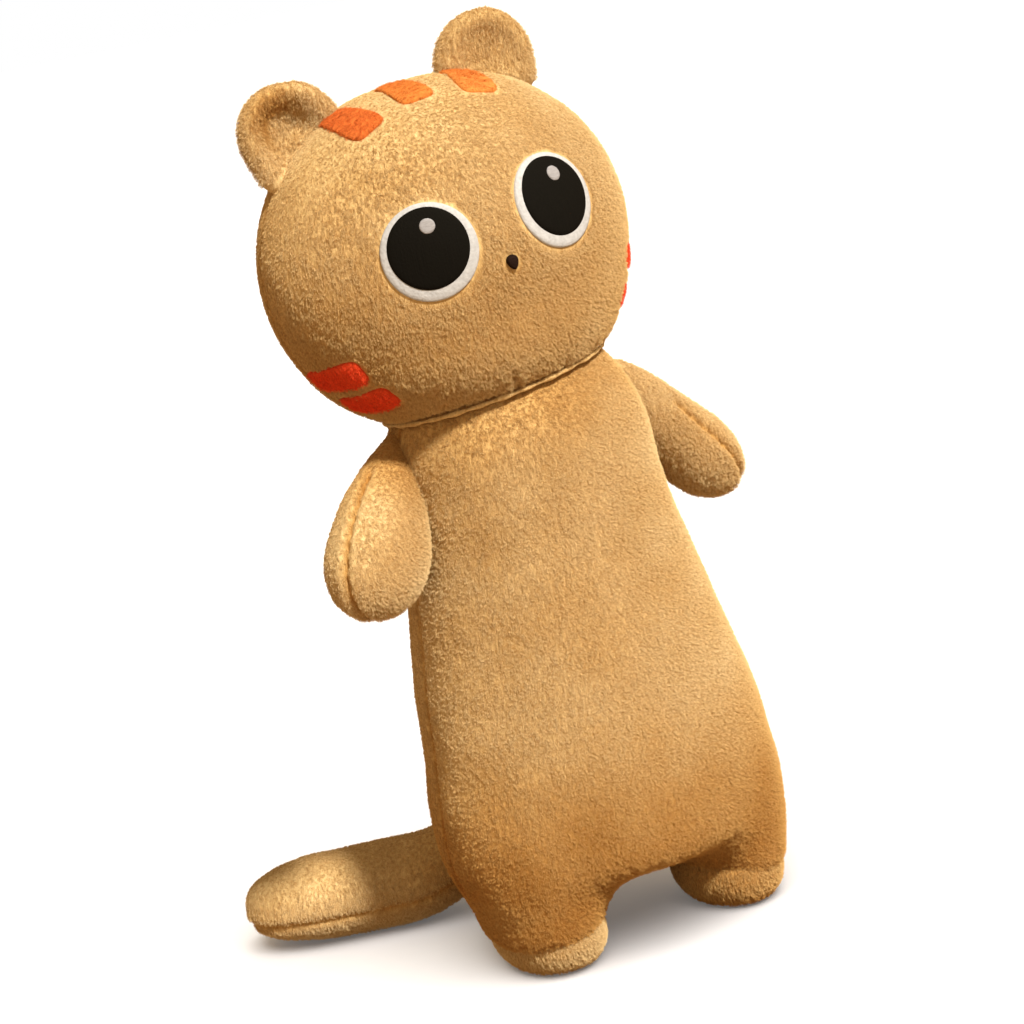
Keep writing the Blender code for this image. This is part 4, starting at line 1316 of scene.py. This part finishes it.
def build_stage():
    """A pale floor. What bounces off it back to the cat is dimmer and warmer than what is seen."""
    bm = bmesh.new()
    bmesh.ops.create_grid(bm, x_segments=1, y_segments=1, size=40.0)
    material, tree, shader = new_material("pale_floor")
    place = object_coordinates(tree)
    speckle = noise_node(tree, place, 30.0)
    seen = ramp_node(tree, speckle, ((0.3, (0.88, 0.88, 0.88)), (0.7, (0.90, 0.90, 0.90))))
    path = tree.nodes.new("ShaderNodeLightPath")
    tint = mix_node(tree, path.outputs["Is Camera Ray"], FLOOR_BOUNCE, seen)
    tree.links.new(tint, shader.inputs["Base Color"])
    set_inputs(shader, {"Roughness": 1.0, "Specular IOR Level": 0.0, "Emission Color": WHITE})
    glow = math_node(tree, "MULTIPLY", path.outputs["Is Camera Ray"], FLOOR_GLOW)
    tree.links.new(glow, shader.inputs["Emission Strength"])
    floor = object_from("floor", bm, material)
    return floor


def link_light(light, name, pieces):
    """The light falls only on these pieces."""
    group = bpy.data.collections.new(name)
    for piece in pieces:
        group.objects.link(piece)
    light.light_linking.receiver_collection = group


def add_light(name, kind, direction, power, colour):
    light = bpy.data.lights.new(name, kind)
    light.energy = power
    light.color = colour
    obj = bpy.data.objects.new(name, light)
    bpy.context.scene.collection.objects.link(obj)
    away = Vector(direction).normalized()
    obj.location = NECK + away * 2.2
    obj.rotation_mode = "QUATERNION"
    obj.rotation_quaternion = away.to_track_quat("Z", "Y")
    return obj


def build_light(floor):
    cat = [obj for obj in bpy.context.scene.objects if obj.type == "MESH" and obj is not floor]
    key = add_light("key", "SUN", KEY_DIRECTION, KEY_STRENGTH, (1.0, 0.98, 0.94))
    key.data.angle = radians(7)
    fill = add_light("fill", "AREA", FILL_DIRECTION, FILL_POWER, (1.0, 0.88, 0.72))
    fill.data.shape = "DISK"
    fill.data.size = 1.4
    wash = add_light("floor_wash", "SUN", WASH_DIRECTION, WASH_STRENGTH, (1.0, 1.0, 1.0))
    wash.data.angle = radians(60)
    link_light(key, "key_receivers", cat)
    link_light(fill, "fill_receivers", cat)
    link_light(wash, "wash_receivers", [floor])
    build_world()


def build_world():
    """Warm light all round, but plain white where the camera sees past the floor."""
    world = bpy.data.worlds.new("studio")
    world.use_nodes = True
    tree = world.node_tree
    lit = tree.nodes["Background"]
    set_inputs(lit, {"Color": WORLD_TINT, "Strength": WORLD_STRENGTH})
    seen = tree.nodes.new("ShaderNodeBackground")
    set_inputs(seen, {"Color": WHITE})
    mix = tree.nodes.new("ShaderNodeMixShader")
    path = tree.nodes.new("ShaderNodeLightPath")
    tree.links.new(path.outputs["Is Camera Ray"], mix.inputs[0])
    tree.links.new(lit.outputs[0], mix.inputs[1])
    tree.links.new(seen.outputs[0], mix.inputs[2])
    tree.links.new(mix.outputs[0], tree.nodes["World Output"].inputs[0])
    bpy.context.scene.world = world
    bpy.context.scene.view_settings.view_transform = "Standard"


def build_camera():
    camera_data = bpy.data.cameras.new("camera")
    camera_data.lens = CAMERA_LENS
    camera_data.sensor_width = 36.0
    camera_data.shift_x, camera_data.shift_y = CAMERA_SHIFT
    camera = bpy.data.objects.new("camera", camera_data)
    bpy.context.scene.collection.objects.link(camera)
    level = cos(CAMERA_ELEVATION)
    aside, ahead = sin(CAMERA_AZIMUTH) * level, cos(CAMERA_AZIMUTH) * level
    forward = Vector((aside, ahead, -sin(CAMERA_ELEVATION)))
    camera.location = SHIFT + Vector((0.0, 0.0, 0.27)) - forward * CAMERA_DISTANCE
    turn = forward.to_track_quat("-Z", "Y").to_matrix().to_4x4()
    roll = Matrix.Rotation(-CAMERA_ROLL, 4, "Z")
    camera.matrix_world = Matrix.Translation(camera.location) @ turn @ roll
    bpy.context.scene.camera = camera


# ---- the whole cat


def build_cat():
    build_body()
    head = build_head()
    cover_head(head, build_face(head))
    build_neck_seam()
    for side, sign, cup, lobe in (("right", -1.0, 0.0130, 0.014), ("left", 1.0, 0.0012, 0.0)):
        build_ear(side, sign, cup, lobe)
        build_foot(side, sign)
    build_arm("right", -1.0, RIGHT_ARM_AIM, 0.0, 0.0295, 0.0290, Vector((0, 0, -0.005)))
    build_arm("left", 1.0, LEFT_ARM_AIM, radians(75), 0.0248, 0.0236, Vector((0, 0.003, 0)))
    build_tail()
    build_fillings()


build_cat()
build_light(build_stage())
build_camera()
bpy.context.view_layer.update()
